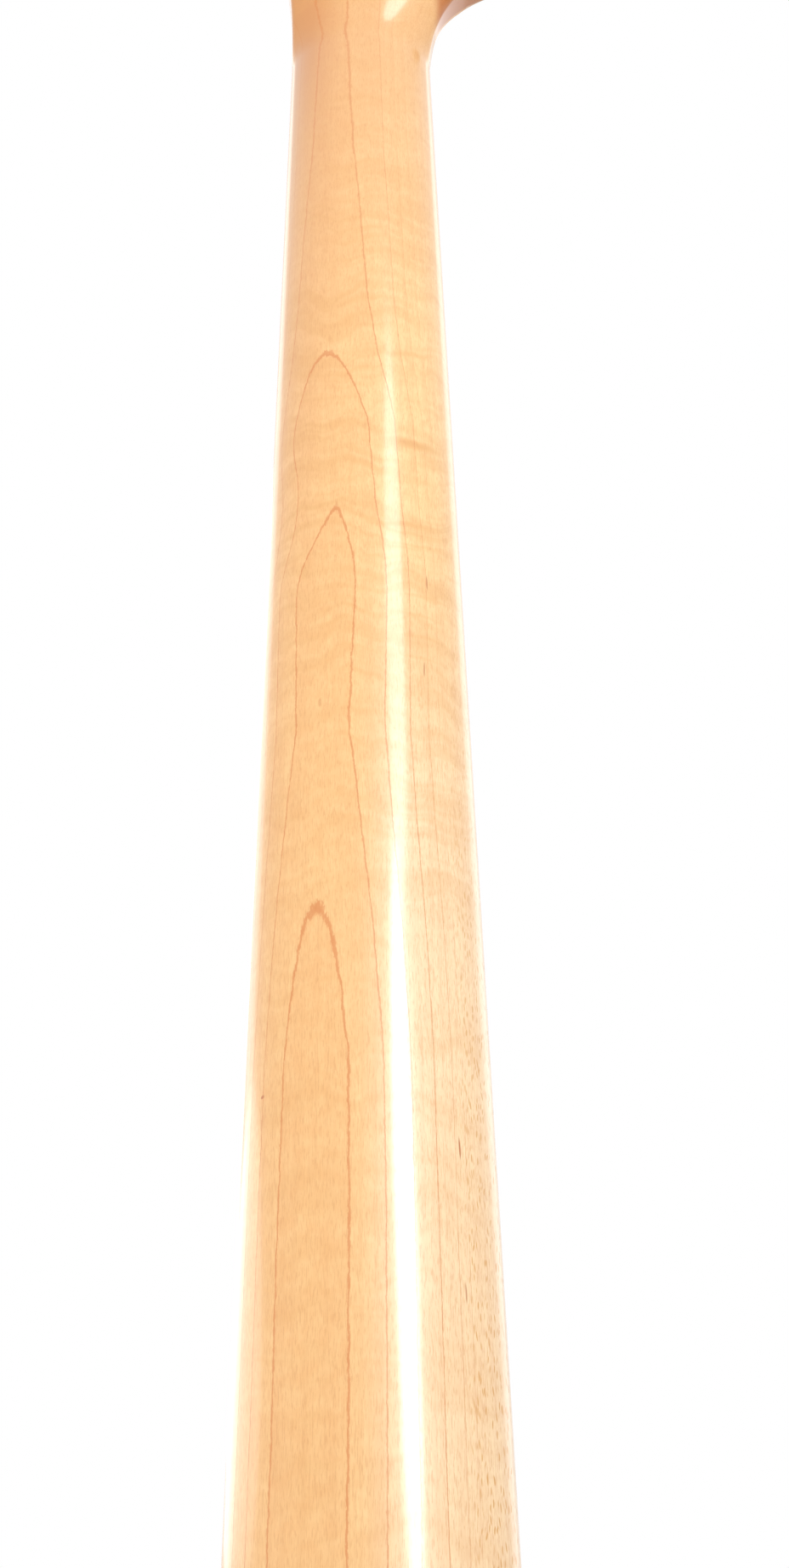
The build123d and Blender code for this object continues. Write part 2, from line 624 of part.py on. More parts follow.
def tuner_screws():
    """The four screws that hold one baseplate, as separate solids."""
    return [Pos(x, y, PLATE_THICKNESS) * wood_screw(SCREW_LENGTH) for x, y in screw_positions()]


def bushing():
    """Flanged ferrule, pressed into the front of the headstock around the post."""
    face = HEADSTOCK_FRONT_Y
    sleeve = cylinder_z(0, 0, POST_HOLE_RADIUS, face, face + BUSHING_DEPTH)
    flange = cylinder_z(0, 0, FLANGE_RADIUS, face - FLANGE_THICKNESS, face)
    flange = fillet(flange.edges().group_by(Axis.Z)[0], 0.8)
    return sleeve + flange - cylinder_z(0, 0, POST_BORE_RADIUS, face - 5, face + BUSHING_DEPTH + 1)


def post():
    """String post: slotted, waisted barrel, shaft, collar under the plate, journal and squared end."""
    top = HEADSTOCK_FRONT_Y - POST_TOP
    waist_top = top + 4.0
    waist_foot = top + POST_TOP - 5.0
    waist_middle = (POST_WAIST_RADIUS, (waist_top + waist_foot) / 2)
    with BuildSketch(Plane.XZ) as profile:
        with BuildLine():
            Line((0, top), (POST_RADIUS - 0.6, top))
            Line((POST_RADIUS - 0.6, top), (POST_RADIUS, top + 0.6))
            Line((POST_RADIUS, top + 0.6), (POST_RADIUS, waist_top))
            ThreePointArc((POST_RADIUS, waist_top), waist_middle, (POST_RADIUS, waist_foot))
            Line((POST_RADIUS, waist_foot), (POST_RADIUS, -0.1 - COLLAR_THICKNESS))
            Line((POST_RADIUS, -0.1 - COLLAR_THICKNESS), (COLLAR_RADIUS, -0.1 - COLLAR_THICKNESS))
            Line((COLLAR_RADIUS, -0.1 - COLLAR_THICKNESS), (COLLAR_RADIUS, -0.1))
            Line((COLLAR_RADIUS, -0.1), (JOURNAL_RADIUS, -0.1))
            Line((JOURNAL_RADIUS, -0.1), (JOURNAL_RADIUS, PLATE_THICKNESS + 0.1))
            Line((JOURNAL_RADIUS, PLATE_THICKNESS + 0.1), (0, PLATE_THICKNESS + 0.1))
            Line((0, PLATE_THICKNESS + 0.1), (0, top))
        make_face()
    barrel = revolve(profile.sketch, Axis.Z)
    square_top = MESH_HEIGHT + GEAR_THICKNESS / 2 - 0.4
    half = POST_SQUARE / 2
    square = box_between((-half, -half, PLATE_THICKNESS), (half, half, square_top))
    string_slot = box_between((-1.4, -POST_RADIUS - 1, top - 1), (1.4, POST_RADIUS + 1, top + 6.5))
    string_hole = cylinder_z(0, 0, 1.7, top - 1, top + 14)
    screw_hole = cylinder_z(0, 0, GEAR_SCREW_RADIUS, square_top - 5, square_top + 1)
    return barrel + square - string_slot - string_hole - screw_hole


def tooth_half_angle(radius, thickness_at_pitch):
    """Half the angle that a gear tooth takes up at a radius."""
    pitch_radius = MODULE * GEAR_TEETH / 2
    half_thickness = thickness_at_pitch / 2 - (radius - pitch_radius) * tan(radians(PRESSURE_ANGLE))
    return half_thickness / radius


def polar(radius, angle):
    return (radius * cos(angle), radius * sin(angle))


def gear():
    """Worm wheel with teeth twisted to the worm's lead, on a hub with a square hole."""
    root_half = tooth_half_angle(GEAR_ROOT_RADIUS, TOOTH_THICKNESS)
    tip_half = tooth_half_angle(GEAR_TIP_RADIUS, TOOTH_THICKNESS)
    with BuildSketch() as profile:
        with BuildLine():
            for tooth in range(GEAR_TEETH):
                centre = tooth * TOOTH_STEP + GEAR_PHASE
                gap = centre + TOOTH_STEP / 2
                foot_in = polar(GEAR_ROOT_RADIUS, centre - root_half)
                tip_in = polar(GEAR_TIP_RADIUS, centre - tip_half)
                tip_out = polar(GEAR_TIP_RADIUS, centre + tip_half)
                foot_out = polar(GEAR_ROOT_RADIUS, centre + root_half)
                next_foot = polar(GEAR_ROOT_RADIUS, centre + TOOTH_STEP - root_half)
                Line(foot_in, tip_in)
                ThreePointArc(tip_in, polar(GEAR_TIP_RADIUS, centre), tip_out)
                Line(tip_out, foot_out)
                ThreePointArc(foot_out, polar(GEAR_ROOT_RADIUS, gap), next_foot)
        make_face()
    low = MESH_HEIGHT - GEAR_THICKNESS / 2
    twist = degrees(GEAR_THICKNESS * tan(LEAD_ANGLE) / (MODULE * GEAR_TEETH / 2))
    face = (Pos(0, 0, low) * Rot(0, 0, -twist / 2) * profile.sketch).face()
    wheel = Solid.extrude_linear_with_rotation(face, (0, 0, low), (0, 0, GEAR_THICKNESS), twist)
    hub = cylinder_z(0, 0, GEAR_HUB_RADIUS, PLATE_THICKNESS + 0.1, low)
    square = Box(POST_SQUARE, POST_SQUARE, 40)
    return Part(wheel.wrapped) + hub - square


def gear_screw():
    """Slotted machine screw that holds the gear on the post."""
    seat = MESH_HEIGHT + GEAR_THICKNESS / 2
    head = cylinder_z(0, 0, GEAR_SCREW_HEAD_RADIUS, seat, seat + 2.0)
    head = fillet(head.edges().group_by(Axis.Z)[-1], 0.7)
    slot = Pos(0, 0, seat + 2.0) * Box(2 * GEAR_SCREW_HEAD_RADIUS + 1, 0.9, 1.8)
    return head + cylinder_z(0, 0, GEAR_SCREW_RADIUS, seat - 4.6, seat) - slot


def worm_section():
    """Cross-section of a one-start worm: root, rising flank, crest, falling flank."""
    flank = (WORM_TIP_RADIUS - WORM_ROOT_RADIUS) * tan(radians(PRESSURE_ANGLE))
    crest = THREAD_THICKNESS - 2 * (WORM_TIP_RADIUS - WORM_PITCH_RADIUS) * tan(radians(PRESSURE_ANGLE))
    half_crest = pi * crest / LEAD
    flank_angle = 2 * pi * flank / LEAD
    steps = 6
    rising = []
    falling = []
    for step in range(steps + 1):
        share = step / steps
        radius = WORM_ROOT_RADIUS + share * (WORM_TIP_RADIUS - WORM_ROOT_RADIUS)
        rising.append(polar(radius, -half_crest - flank_angle * (1 - share)))
        falling.append(polar(radius, half_crest + flank_angle * (1 - share)))
    with BuildSketch() as profile:
        with BuildLine():
            ThreePointArc(falling[0], (-WORM_ROOT_RADIUS, 0), rising[0])
            Spline(*rising)
            ThreePointArc(rising[-1], (WORM_TIP_RADIUS, 0), falling[-1])
            Spline(*falling)
        make_face()
    return profile.sketch.face()


def worm():
    """Worm on its shaft, drawn along z and laid along the tuner's x axis."""
    turns = WORM_LENGTH / LEAD
    half = WORM_LENGTH / 2
    start = Pos(0, 0, -half) * Rot(0, 0, -180 * turns) * worm_section()
    thread = Solid.extrude_linear_with_rotation(start, (0, 0, -half), (0, 0, WORM_LENGTH), 360 * turns)
    shaft = cylinder_z(0, 0, WORM_SHAFT_RADIUS, -WORM_SHAFT_INNER, -half)
    shaft = chamfer(shaft.edges().group_by(Axis.Z)[0], 0.4)
    shaft += cylinder_z(0, 0, WORM_SHAFT_RADIUS, half, KEY_BOSS_X + 8)
    for side in (-1, 1):
        middle = side * (half + LUG_INNER_X - 0.1) / 2
        thickness = LUG_INNER_X - 0.1 - half
        shaft += Pos(0, 0, middle) * Cylinder(WORM_COLLAR_RADIUS, thickness)
    return worm_place() * (Part(thread.wrapped) + shaft)


def worm_place():
    """Lays an axis drawn along z onto the worm's axis, pointing outward to the key."""
    return Pos(0, WORM_CENTRE_DISTANCE, MESH_HEIGHT) * Rot(0, 90, 0)


def key():
    """Button on the worm's shaft: an oval paddle with a boss."""
    boss = cylinder_z(0, 0, KEY_BOSS_RADIUS, KEY_BOSS_X, KEY_CENTRE_X - 4)
    boss = chamfer(boss.edges().group_by(Axis.Z)[0], 0.6)
    oval = Plane.XZ * Pos(0, KEY_CENTRE_X) * Ellipse(KEY_HALF_WIDTH, KEY_HALF_LENGTH)
    paddle = extrude(oval, amount=KEY_THICKNESS / 2, both=True)
    paddle = fillet(paddle.edges().filter_by(GeomType.ELLIPSE), KEY_EDGE_ROUND)
    hole = cylinder_z(0, 0, WORM_SHAFT_RADIUS, KEY_BOSS_X - 1, KEY_BOSS_X + 8)
    return worm_place() * Rot(0, 0, KEY_REST_TURN) * (boss + paddle - hole)


# ---------------------------------------------------------------- the whole neck

def all_nodes():
    """Every node's name with its shape."""
    nodes = {
        "neck": neck(),
        "fretboard": fretboard(),
        "frets": frets(),
        "nut": nut(),
        "position_dots": position_dots(),
        "side_dots": side_dots(),
        "truss_rod_heel_block": truss_rod_block(HEEL_BLOCK_Z),
        "truss_rod_head_block": truss_rod_block(HEAD_BLOCK_Z),
        "truss_rod_bar": truss_rod_bar(),
        "truss_rod_screw": truss_rod_screw(),
        "string_guide": string_guide(),
        "string_guide_screw": string_guide_screw(),
    }
    shapes = {
        "plate": tuner_plate(),
        "bushing": bushing(),
        "post": post(),
        "gear": gear(),
        "gear_screw": gear_screw(),
        "worm": worm(),
        "key": key(),
    }
    screws = tuner_screws()
    for number, place in enumerate(tuner_places(), start=1):
        for name, shape in shapes.items():
            nodes[f"tuner_{number}_{name}"] = place * shape
        nodes[f"tuner_{number}_screws"] = Compound(children=[(place * screw).solid() for screw in screws])
    return nodes


def main():
    os.makedirs("parts", exist_ok=True)
    for name, shape in all_nodes().items():
        export_step(shape, f"parts/{name}.step")


if __name__ == "__main__":
    main()
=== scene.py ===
import math

import bmesh
import bpy
import numpy as np
from mathutils import Matrix, Vector


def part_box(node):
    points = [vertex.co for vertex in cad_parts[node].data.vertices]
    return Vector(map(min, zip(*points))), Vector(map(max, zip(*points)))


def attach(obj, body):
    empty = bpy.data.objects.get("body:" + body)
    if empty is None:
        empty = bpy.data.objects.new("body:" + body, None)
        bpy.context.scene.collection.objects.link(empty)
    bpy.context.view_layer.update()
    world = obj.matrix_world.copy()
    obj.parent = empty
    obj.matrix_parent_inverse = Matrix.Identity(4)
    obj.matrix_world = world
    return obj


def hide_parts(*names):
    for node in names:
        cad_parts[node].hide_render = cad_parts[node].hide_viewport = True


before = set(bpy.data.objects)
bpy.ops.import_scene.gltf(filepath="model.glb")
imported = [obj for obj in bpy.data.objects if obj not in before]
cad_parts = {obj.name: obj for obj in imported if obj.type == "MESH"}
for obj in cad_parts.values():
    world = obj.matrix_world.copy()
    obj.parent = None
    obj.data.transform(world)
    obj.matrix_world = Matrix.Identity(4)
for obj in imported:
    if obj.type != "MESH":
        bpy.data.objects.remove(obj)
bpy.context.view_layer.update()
MM = 0.001

bl_info = {
    "name": "Bass Guitar Neck",
    "version": (1, 0, 0),
    "blender": (4, 5, 0),
    "location": "View3D > Sidebar > Bass Neck",
    "description": "Dresses a bolt-on bass guitar neck with its tuners in flamed maple, rosewood and nickel",
    "category": "Object",
}

TUNERS = (1, 2, 3, 4)
HEEL_END_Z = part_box("neck")[0].z
NUT_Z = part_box("nut")[0].z
NUT_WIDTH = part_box("nut")[1].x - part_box("nut")[0].x
GLUE_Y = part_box("fretboard")[1].y
BOARD_END_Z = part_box("fretboard")[1].z
TIP_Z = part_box("neck")[1].z


# ---------------------------------------------------------------- sizes and colours

def number(name, description, default, **kind):
    """A setting that is one number."""
    return bpy.props.FloatProperty(name=name, description=description, default=default, **kind)


def length(name, description, default):
    """A length in metres."""
    return number(name, description, default, unit="LENGTH")


def angle(name, description, default):
    """An angle in radians."""
    return number(name, description, default, subtype="ANGLE")


def power(name, description, default):
    """A lamp's power in watts."""
    return number(name, description, default, unit="POWER")


def tone(name, description, default):
    """A colour in linear red, green and blue."""
    return bpy.props.FloatVectorProperty(
        name=name, description=description, default=default, subtype="COLOR", min=0, max=1)


class BassNeckShape(bpy.types.PropertyGroup):
    """Sizes of the carved maple."""

    heel_width: length("Heel width", "Width of the neck at its heel end", 0.0625)
    back_at_nut: length(
        "Back at nut", "Height of the rounded back at the nut, from the heel's back face", -0.0041)
    back_at_heel: length("Back at heel", "Height of the rounded back carried on to the heel end", -0.0009)
    roundness: number(
        "Back roundness", "Exponent of the back's arch: 2 is an ellipse, more is squarer", 2.25)
    side_allowance: length("Side allowance", "How far the arch starts outside the neck's sides", 0.0004)
    heel_swell_start: length(
        "Heel swell start", "Where the back starts to swell into the heel block", 0.086)
    heel_swell_length: length("Heel swell length", "Length of the swell into the heel block", 0.040)
    scoop_start: length("Scoop start", "Where the back starts to rise into the headstock", 0.558)
    scoop_length: length("Scoop length", "Length of the rise into the headstock", 0.042)
    heel_corner: length("Heel corner", "Corner radius of the heel's plan", 0.006)
    flare_start: length("Flare start", "Where the bass side sweeps out past the nut", 0.560)
    flare_radius: length("Flare radius", "Radius of the bass side's sweep", 0.033)
    flare_angle: angle("Flare angle", "How far the bass side's sweep turns", math.radians(73))
    flare_corner: length("Flare corner", "Radius of the corner beyond the sweep", 0.009)
    edge_lean: angle(
        "Tuner edge lean", "Angle of the headstock's tuner edge to the neck", math.atan2(9, 40))
    treble_start: length("Treble flare start", "Where the treble side starts to lean out", 0.565)
    treble_radius: length("Treble flare radius", "Radius of the treble side's sweep", 0.135)
    treble_angle: angle("Treble flare angle", "How far the treble side's sweep turns", math.radians(6.2))
    tip_crown: length("Tip crown", "Rise of the headstock's end between its corners", 0.005)
    tip_corner: length("Tip corner", "Corner radius of the headstock's end", 0.017)
    headstock_front: length("Headstock face", "Height of the headstock's front face", -0.0146)
    ramp_radius: length("Ramp radius", "Radius of the ramp from fretboard to headstock face", 0.012)
    back_edge: length("Back edge", "Rounding of the heel's and headstock's back edges", 0.0022)
    front_edge: length("Front edge", "Rounding of the headstock's front edges", 0.0010)
    bolt_spacing: bpy.props.FloatVectorProperty(
        name="Bolt spacing", description="Heel bolt spacing across and along the neck",
        default=(0.0381, 0.0508), size=2, unit="LENGTH")
    bolt_radius: length("Bolt pilot radius", "Radius of the heel's pilot holes", 0.0016)
    bolt_depth: length("Bolt pilot depth", "Depth of the heel's pilot holes", 0.016)
    access_radius: length("Access radius", "Half width of the truss rod's access slot", 0.0042)
    access_end: length("Access end", "Headstock end of the truss rod's access slot", 0.584)
    rod_axis: length("Rod axis", "Height of the truss rod's axis", -0.0142)


class BassNeckFinish(bpy.types.PropertyGroup):
    """Colours of the woods, metals and inlays."""

    maple: tone("Maple", "Main tone of the lacquered maple", (0.86, 0.472, 0.180))
    maple_line: tone("Maple growth line", "Tone of the thin growth lines", (0.64, 0.190, 0.03))
    maple_fleck: tone("Maple ray fleck", "Tone of the small ray flecks", (0.66, 0.28, 0.085))
    maple_light: tone("Maple light", "Lightest tone between growth lines", (0.97, 0.67, 0.305))
    # This tone paints the highlight's pale halo on the bass side near the heel; it is not paler wood.
    maple_halo_tone: tone("Pale maple", "The palest wood, on the bass side near the heel", (0.97, 0.78, 0.54))
    maple_mark: tone("Maple mark", "Tone of the dark mineral streaks", (0.50, 0.14, 0.02))
    maple_curl: tone("Maple curl", "Golden tone of the cross-grain figure", (0.72, 0.36, 0.105))
    rosewood: tone("Rosewood", "Main tone of the fretboard", (0.105, 0.044, 0.024))
    rosewood_streak: tone("Rosewood streak", "Dark streaks of the fretboard", (0.038, 0.016, 0.010))
    nickel: tone("Nickel", "Tone of the nickel plating", (0.58, 0.555, 0.515))
    nickel_dull: tone("Nickel tarnish", "Tone of dulled nickel", (0.36, 0.33, 0.285))
    fret_wire: tone("Fret wire", "Tone of the nickel silver frets", (0.72, 0.69, 0.62))
    brass: tone("Brass", "Tone of the machined brass", (0.78, 0.55, 0.24))
    brass_dull: tone("Brass tarnish", "Tone of dulled brass", (0.50, 0.31, 0.12))
    screw: tone("Screw", "Tone of the plated screws", (0.60, 0.58, 0.55))
    rod: tone("Truss rod", "Tone of the steel truss rod", (0.22, 0.21, 0.20))
    bone: tone("Bone", "Tone of the nut", (0.84, 0.78, 0.63))
    bone_shade: tone("Bone shade", "Cloudy darker tone of the nut", (0.70, 0.60, 0.42))
    pearl: tone("Pearl", "Light tone of the position dots", (0.84, 0.82, 0.76))
    pearl_shade: tone("Pearl shade", "Dark tone of the position dots", (0.50, 0.52, 0.50))
    side_dot: tone("Side dot", "Tone of the side dots", (0.86, 0.85, 0.80))


class BassNeckStage(bpy.types.PropertyGroup):
    """Lamps and camera."""

    ambient: number("Surround light", "Strength of the white surround's soft light", 0.53)
    key_power: power("High softbox", "Power of the long softbox over the back", 2.9)
    bass_power: power("Bass softbox", "Power of the softbox on the bass side", 3.3)
    treble_power: power("Treble softbox", "Power of the softbox on the treble side", 1.9)
    rim_power: power("Edge lights", "Power of each narrow lamp that lights an edge", 0.75)
    upper_power: power("Upper softbox", "Power of the small softbox over the headstock end", 1.0)
    glow_power: power("Glow softbox", "Power of the wide faint softbox behind the long one", 0.05)
    low_power: power("Low softbox", "Power of the softbox beside the heel end", 0.95)
    front_power: power("Front softbox", "Power of the softbox on the fretboard side", 1.8)
    lens: number("Lens", "Focal length in millimetres", 50.0)
    camera_place: bpy.props.FloatVectorProperty(
        name="Camera place", description="Where the camera stands",
        default=(0.0022, 0.408, 0.0190), unit="LENGTH")
    camera_rise: angle("Camera rise", "How far the camera looks up", math.radians(33.7))
    camera_yaw: angle("Camera yaw", "How far the camera turns towards the treble side", math.radians(-1.2))
    camera_roll: angle("Camera roll", "How far the camera leans", math.radians(-0.9))


# ---------------------------------------------------------------- node helpers

def fill(tree, node, inputs):
    """Sets a node's inputs, or links them where the value is another node's socket."""
    for name, value in inputs.items():
        if isinstance(value, bpy.types.NodeSocket):
            tree.links.new(value, node.inputs[name])
        else:
            node.inputs[name].default_value = value


def add_node(tree, kind, inputs=None, **settings):
    """Adds a node, sets its properties and fills its inputs."""
    node = tree.nodes.new(kind)
    for name, value in settings.items():
        setattr(node, name, value)
    fill(tree, node, inputs or {})
    return node


def math_node(tree, operation, a, b=0.0, c=0.0):
    """A Math node's result."""
    return add_node(tree, "ShaderNodeMath", {0: a, 1: b, 2: c}, operation=operation).outputs[0]


def product(tree, value, *factors):
    """Values multiplied together."""
    for factor in factors:
        value = math_node(tree, "MULTIPLY", value, factor)
    return value


def times_plus(tree, a, b, c):
    """A value times another, plus a third."""
    return math_node(tree, "MULTIPLY_ADD", a, b, c)


def less(tree, a, b):
    """A value less another."""
    return math_node(tree, "SUBTRACT", a, b)


def vector_node(tree, operation, inputs, output="Vector"):
    """A Vector Math node's result."""
    return add_node(tree, "ShaderNodeVectorMath", inputs, operation=operation).outputs[output]


def stretched(tree, vector, scale, offset=(0, 0, 0)):
    """The vector times scale, plus an offset."""
    return vector_node(tree, "MULTIPLY_ADD", {0: vector, 1: scale, 2: offset})


def split_vector(tree, vector):
    """A vector's X, Y and Z."""
    return add_node(tree, "ShaderNodeSeparateXYZ", {0: vector}).outputs


def mix_colour(tree, factor, a, b):
    """A colour mix's result; each colour is a socket, or red, green and blue."""
    a, b = (end if isinstance(end, bpy.types.NodeSocket) else (*end, 1.0) for end in (a, b))
    return add_node(tree, "ShaderNodeMix", {0: factor, 6: a, 7: b}, data_type="RGBA").outputs[2]


def map_range(tree, value, low, high, to_low=0.0, to_high=1.0, smooth=True):
    """A clamped Map Range's result."""
    kind = "SMOOTHSTEP" if smooth else "LINEAR"
    inputs = {0: value, 1: low, 2: high, 3: to_low, 4: to_high}
    return add_node(tree, "ShaderNodeMapRange", inputs, interpolation_type=kind).outputs[0]


def noise(tree, vector, stretch, offset=(0, 0, 0), detail=2.0, roughness=0.5, output="Fac"):
    """A noise texture's value, with the vector times stretch plus an offset."""
    inputs = {"Vector": stretched(tree, vector, stretch, offset), "Scale": 1.0, "Detail": detail,
              "Roughness": roughness}
    return add_node(tree, "ShaderNodeTexNoise", inputs).outputs[output]


def new_effect(name, settings, outputs):
    """A group that takes a place in millimetres and settings: its tree, its inputs and its output node."""
    tree = bpy.data.node_groups.new(name, "ShaderNodeTree")
    tree.interface.new_socket(name="Vector", in_out="INPUT", socket_type="NodeSocketVector")
    for label, default in settings.items():
        socket = tree.interface.new_socket(name=label, in_out="INPUT", socket_type="NodeSocketFloat")
        socket.default_value = default
    for label in outputs:
        tree.interface.new_socket(name=label, in_out="OUTPUT", socket_type="NodeSocketFloat")
    return tree, tree.nodes.new("NodeGroupInput").outputs, tree.nodes.new("NodeGroupOutput")


def use_effect(tree, name, place, **settings):
    """The outputs of a shared effect, whose group is built the first time it is asked for."""
    group = bpy.data.node_groups.get(name) or EFFECTS[name]()
    inputs = {"Vector": place, **{label.replace("_", " "): value for label, value in settings.items()}}
    return add_node(tree, "ShaderNodeGroup", inputs, node_tree=group).outputs


def new_material(name, **constants):
    """A material with one Principled shader, whose constants are set on its own sockets."""
    material = bpy.data.materials.new(name)
    material.use_nodes = True
    tree = material.node_tree
    shader = tree.nodes["Principled BSDF"]
    fill(tree, shader, {label.replace("_", " "): value for label, value in constants.items()})
    place = add_node(tree, "ShaderNodeTexCoord").outputs["Object"]
    return material, tree, shader, stretched(tree, place, (1 / MM, 1 / MM, 1 / MM))


def bump(tree, height, strength, distance):
    """A bump's normal."""
    inputs = {"Height": height, "Strength": strength, "Distance": distance}
    return add_node(tree, "ShaderNodeBump", inputs).outputs["Normal"]


# ---------------------------------------------------------------- neck form

# Points on each arc of the plan, on each part of a row of the mesh, and round the cutting tools.
FLARE_STEPS, TREBLE_STEPS, CORNER_STEPS, CROWN_STEPS, HEEL_STEPS, TIP_STEPS = 40, 12, 24, 20, 16, 44
BACK_STEPS, WALL_STEPS, FRONT_STEPS = 112, 9, 26
BORE_STEPS, SLOT_STEPS = 40, 17
# How the back's arch grows where it swells into the heel and rises into the headstock.
SWELL_DEPTH = 9 * MM
HEEL_SPREAD, SCOOP_SPREAD = 22 * MM, 46 * MM
HEEL_SQUARENESS, SCOOP_SQUARENESS = 0.8, 0.9
ARCH_PAST_FLAT = 20 * MM
ARCH_BLEND = 1.2 * MM
LEAST_EDGE = 0.4 * MM
FRONT_EDGE_FADE = 6 * MM
LEAST_HALF_WIDTH = 1e-6
# Rows of the mesh in metres along the neck: the heel's end and step, then start, end and step of the rows
# over the swell, the playing length and the scoop, then the headstock's start and step.
HEEL_ROWS = (0.044, 0.003)
ROW_SPANS = ((0.045, 0.092, 0.001), (0.094, 0.540, 0.0025), (0.541, 0.620, 0.0007))
HEADSTOCK_ROWS = (0.623, 0.004)
TIP_CLEAR = 30 * MM
TIP_SPAN = 28 * MM
ACCESS_LENGTH = 32 * MM
CUT_MARGIN = 1 * MM
SAME_POINT = 0.003 * MM
SHARP_ANGLE = math.radians(28)


def heel_share(z):
    """How far a height is from the nut towards the heel's end, from 0 to 1."""
    return (NUT_Z - z) / (NUT_Z - HEEL_END_Z)


def half_width(shape, z):
    """Half the neck's width at a height."""
    return (NUT_WIDTH + heel_share(z) * (shape.heel_width - NUT_WIDTH)) / 2


def side_taper(shape):
    """Angle of each side to the neck's axis."""
    return math.atan((shape.heel_width - NUT_WIDTH) / 2 / (NUT_Z - HEEL_END_Z))


def arc_points(centre, radius, start, end, count):
    """Points on an arc in the plan, angles from +X towards +Z."""
    turns = np.linspace(start, end, count)
    return [(centre[0] + radius * math.cos(t), centre[1] + radius * math.sin(t)) for t in turns]


def bass_edge(shape):
    """Plan of the bass side from the flare to the tip's corner: (x, z) points and the last heading."""
    taper, radius, corner = side_taper(shape), shape.flare_radius, shape.flare_corner
    centre = (-half_width(shape, shape.flare_start) - radius * math.cos(taper),
              shape.flare_start + radius * math.sin(taper))
    heading = shape.flare_angle - taper
    sweep = arc_points(centre, radius, -taper, heading, FLARE_STEPS)
    end_x, end_z = sweep[-1]
    centre = (end_x + corner * math.cos(heading), end_z + corner * math.sin(heading))
    rounded = arc_points(centre, corner, math.pi + heading, math.pi - shape.edge_lean, CORNER_STEPS)
    return sweep + rounded[1:], (math.sin(shape.edge_lean), math.cos(shape.edge_lean))


def treble_edge(shape):
    """Plan of the treble side from its flare to the tip's corner: (x, z) points and the last heading."""
    taper, radius = side_taper(shape), shape.treble_radius
    centre = (half_width(shape, shape.treble_start) + radius * math.cos(taper),
              shape.treble_start + radius * math.sin(taper))
    start = math.pi + taper
    heading = shape.treble_angle - taper
    return (arc_points(centre, radius, start, start - shape.treble_angle, TREBLE_STEPS),
            (math.sin(heading), math.cos(heading)))


def reach(point, heading, z):
    """Where a line reaches a height."""
    return point[0] + heading[0] * (z - point[1]) / heading[1]


def tip_corner(point, heading, crown_centre, crown_radius, radius, side):
    """The arc that joins a side line to the crowned tip: its centre and its two contact points."""
    inward = (heading[1] * -side, heading[0] * side)
    shifted = (point[0] + inward[0] * radius, point[1] + inward[1] * radius)
    dx, dz = shifted[0] - crown_centre[0], shifted[1] - crown_centre[1]
    along = dx * heading[0] + dz * heading[1]
    gap = dx * dx + dz * dz - (crown_radius - radius) ** 2
    run = -along + math.sqrt(along * along - gap)
    centre = (shifted[0] + heading[0] * run, shifted[1] + heading[1] * run)
    on_line = (centre[0] - inward[0] * radius, centre[1] - inward[1] * radius)
    away = Vector((centre[0] - crown_centre[0], centre[1] - crown_centre[1])).normalized()
    on_crown = (centre[0] + away.x * radius, centre[1] + away.y * radius)
    return centre, on_line, on_crown


def plan_outline(shape):
    """Bass and treble outlines of the wood, each from the heel's end to the tip's top, as (x, z) arrays."""
    bass, bass_heading = bass_edge(shape)
    treble, treble_heading = treble_edge(shape)
    shoulder_z = TIP_Z - shape.tip_crown
    left = reach(bass[-1], bass_heading, shoulder_z)
    right = reach(treble[-1], treble_heading, shoulder_z)
    half_chord = (right - left) / 2
    crown_radius = (half_chord ** 2 + shape.tip_crown ** 2) / (2 * shape.tip_crown)
    crown = ((left + right) / 2, TIP_Z - crown_radius)
    outlines = []
    for side, edge, heading in ((-1, bass, bass_heading), (1, treble, treble_heading)):
        centre, on_line, on_crown = tip_corner(
            edge[-1], heading, crown, crown_radius, shape.tip_corner, side)
        start = math.atan2(on_line[1] - centre[1], on_line[0] - centre[0])
        end = math.atan2(on_crown[1] - centre[1], on_crown[0] - centre[0])
        if side < 0 and start < 0:
            start += 2 * math.pi
        corner = arc_points(centre, shape.tip_corner, start, end, CORNER_STEPS)
        crown_end = math.atan2(on_crown[1] - crown[1], on_crown[0] - crown[0])
        cap = arc_points(crown, crown_radius, crown_end, math.pi / 2, CROWN_STEPS)
        radius = shape.heel_corner
        heel = (side * half_width(shape, HEEL_END_Z) - side * radius, HEEL_END_Z + radius)
        heel_arc = arc_points(heel, radius, -math.pi / 2, -math.pi if side < 0 else 0, HEEL_STEPS)
        outlines.append(np.array(heel_arc + edge + corner + cap[1:]))
    return outlines


def edge_distance(x, z, outlines):
    """Distance in the plan from each point to the outline."""
    loop = np.vstack([outlines[0], outlines[1][::-1]])
    a, b = loop, np.roll(loop, -1, axis=0)
    best = np.full(x.shape, np.inf)
    for (ax, az), (bx, bz) in zip(a, b):
        run_x, run_z = bx - ax, bz - az
        length = run_x * run_x + run_z * run_z
        if length < 1e-16:
            continue
        share = np.clip(((x - ax) * run_x + (z - az) * run_z) / length, 0, 1)
        best = np.minimum(best, np.hypot(x - ax - share * run_x, z - az - share * run_z))
    return best


def edge_drop(distance, radius):
    """How far a rounded edge falls away at a distance from the outline."""
    inside = np.clip(1 - distance / np.maximum(radius, 1e-9), 0, 1)
    return radius * (1 - np.sqrt(1 - inside ** 2))


def swells(shape, z):
    """How far the heel swell and the headstock scoop have grown at each height, from 0 to 1."""
    heel = np.clip((shape.heel_swell_start - z) / shape.heel_swell_length, 0, 1)
    scoop = np.clip((z - shape.scoop_start) / shape.scoop_length, 0, 1)
    return heel, scoop


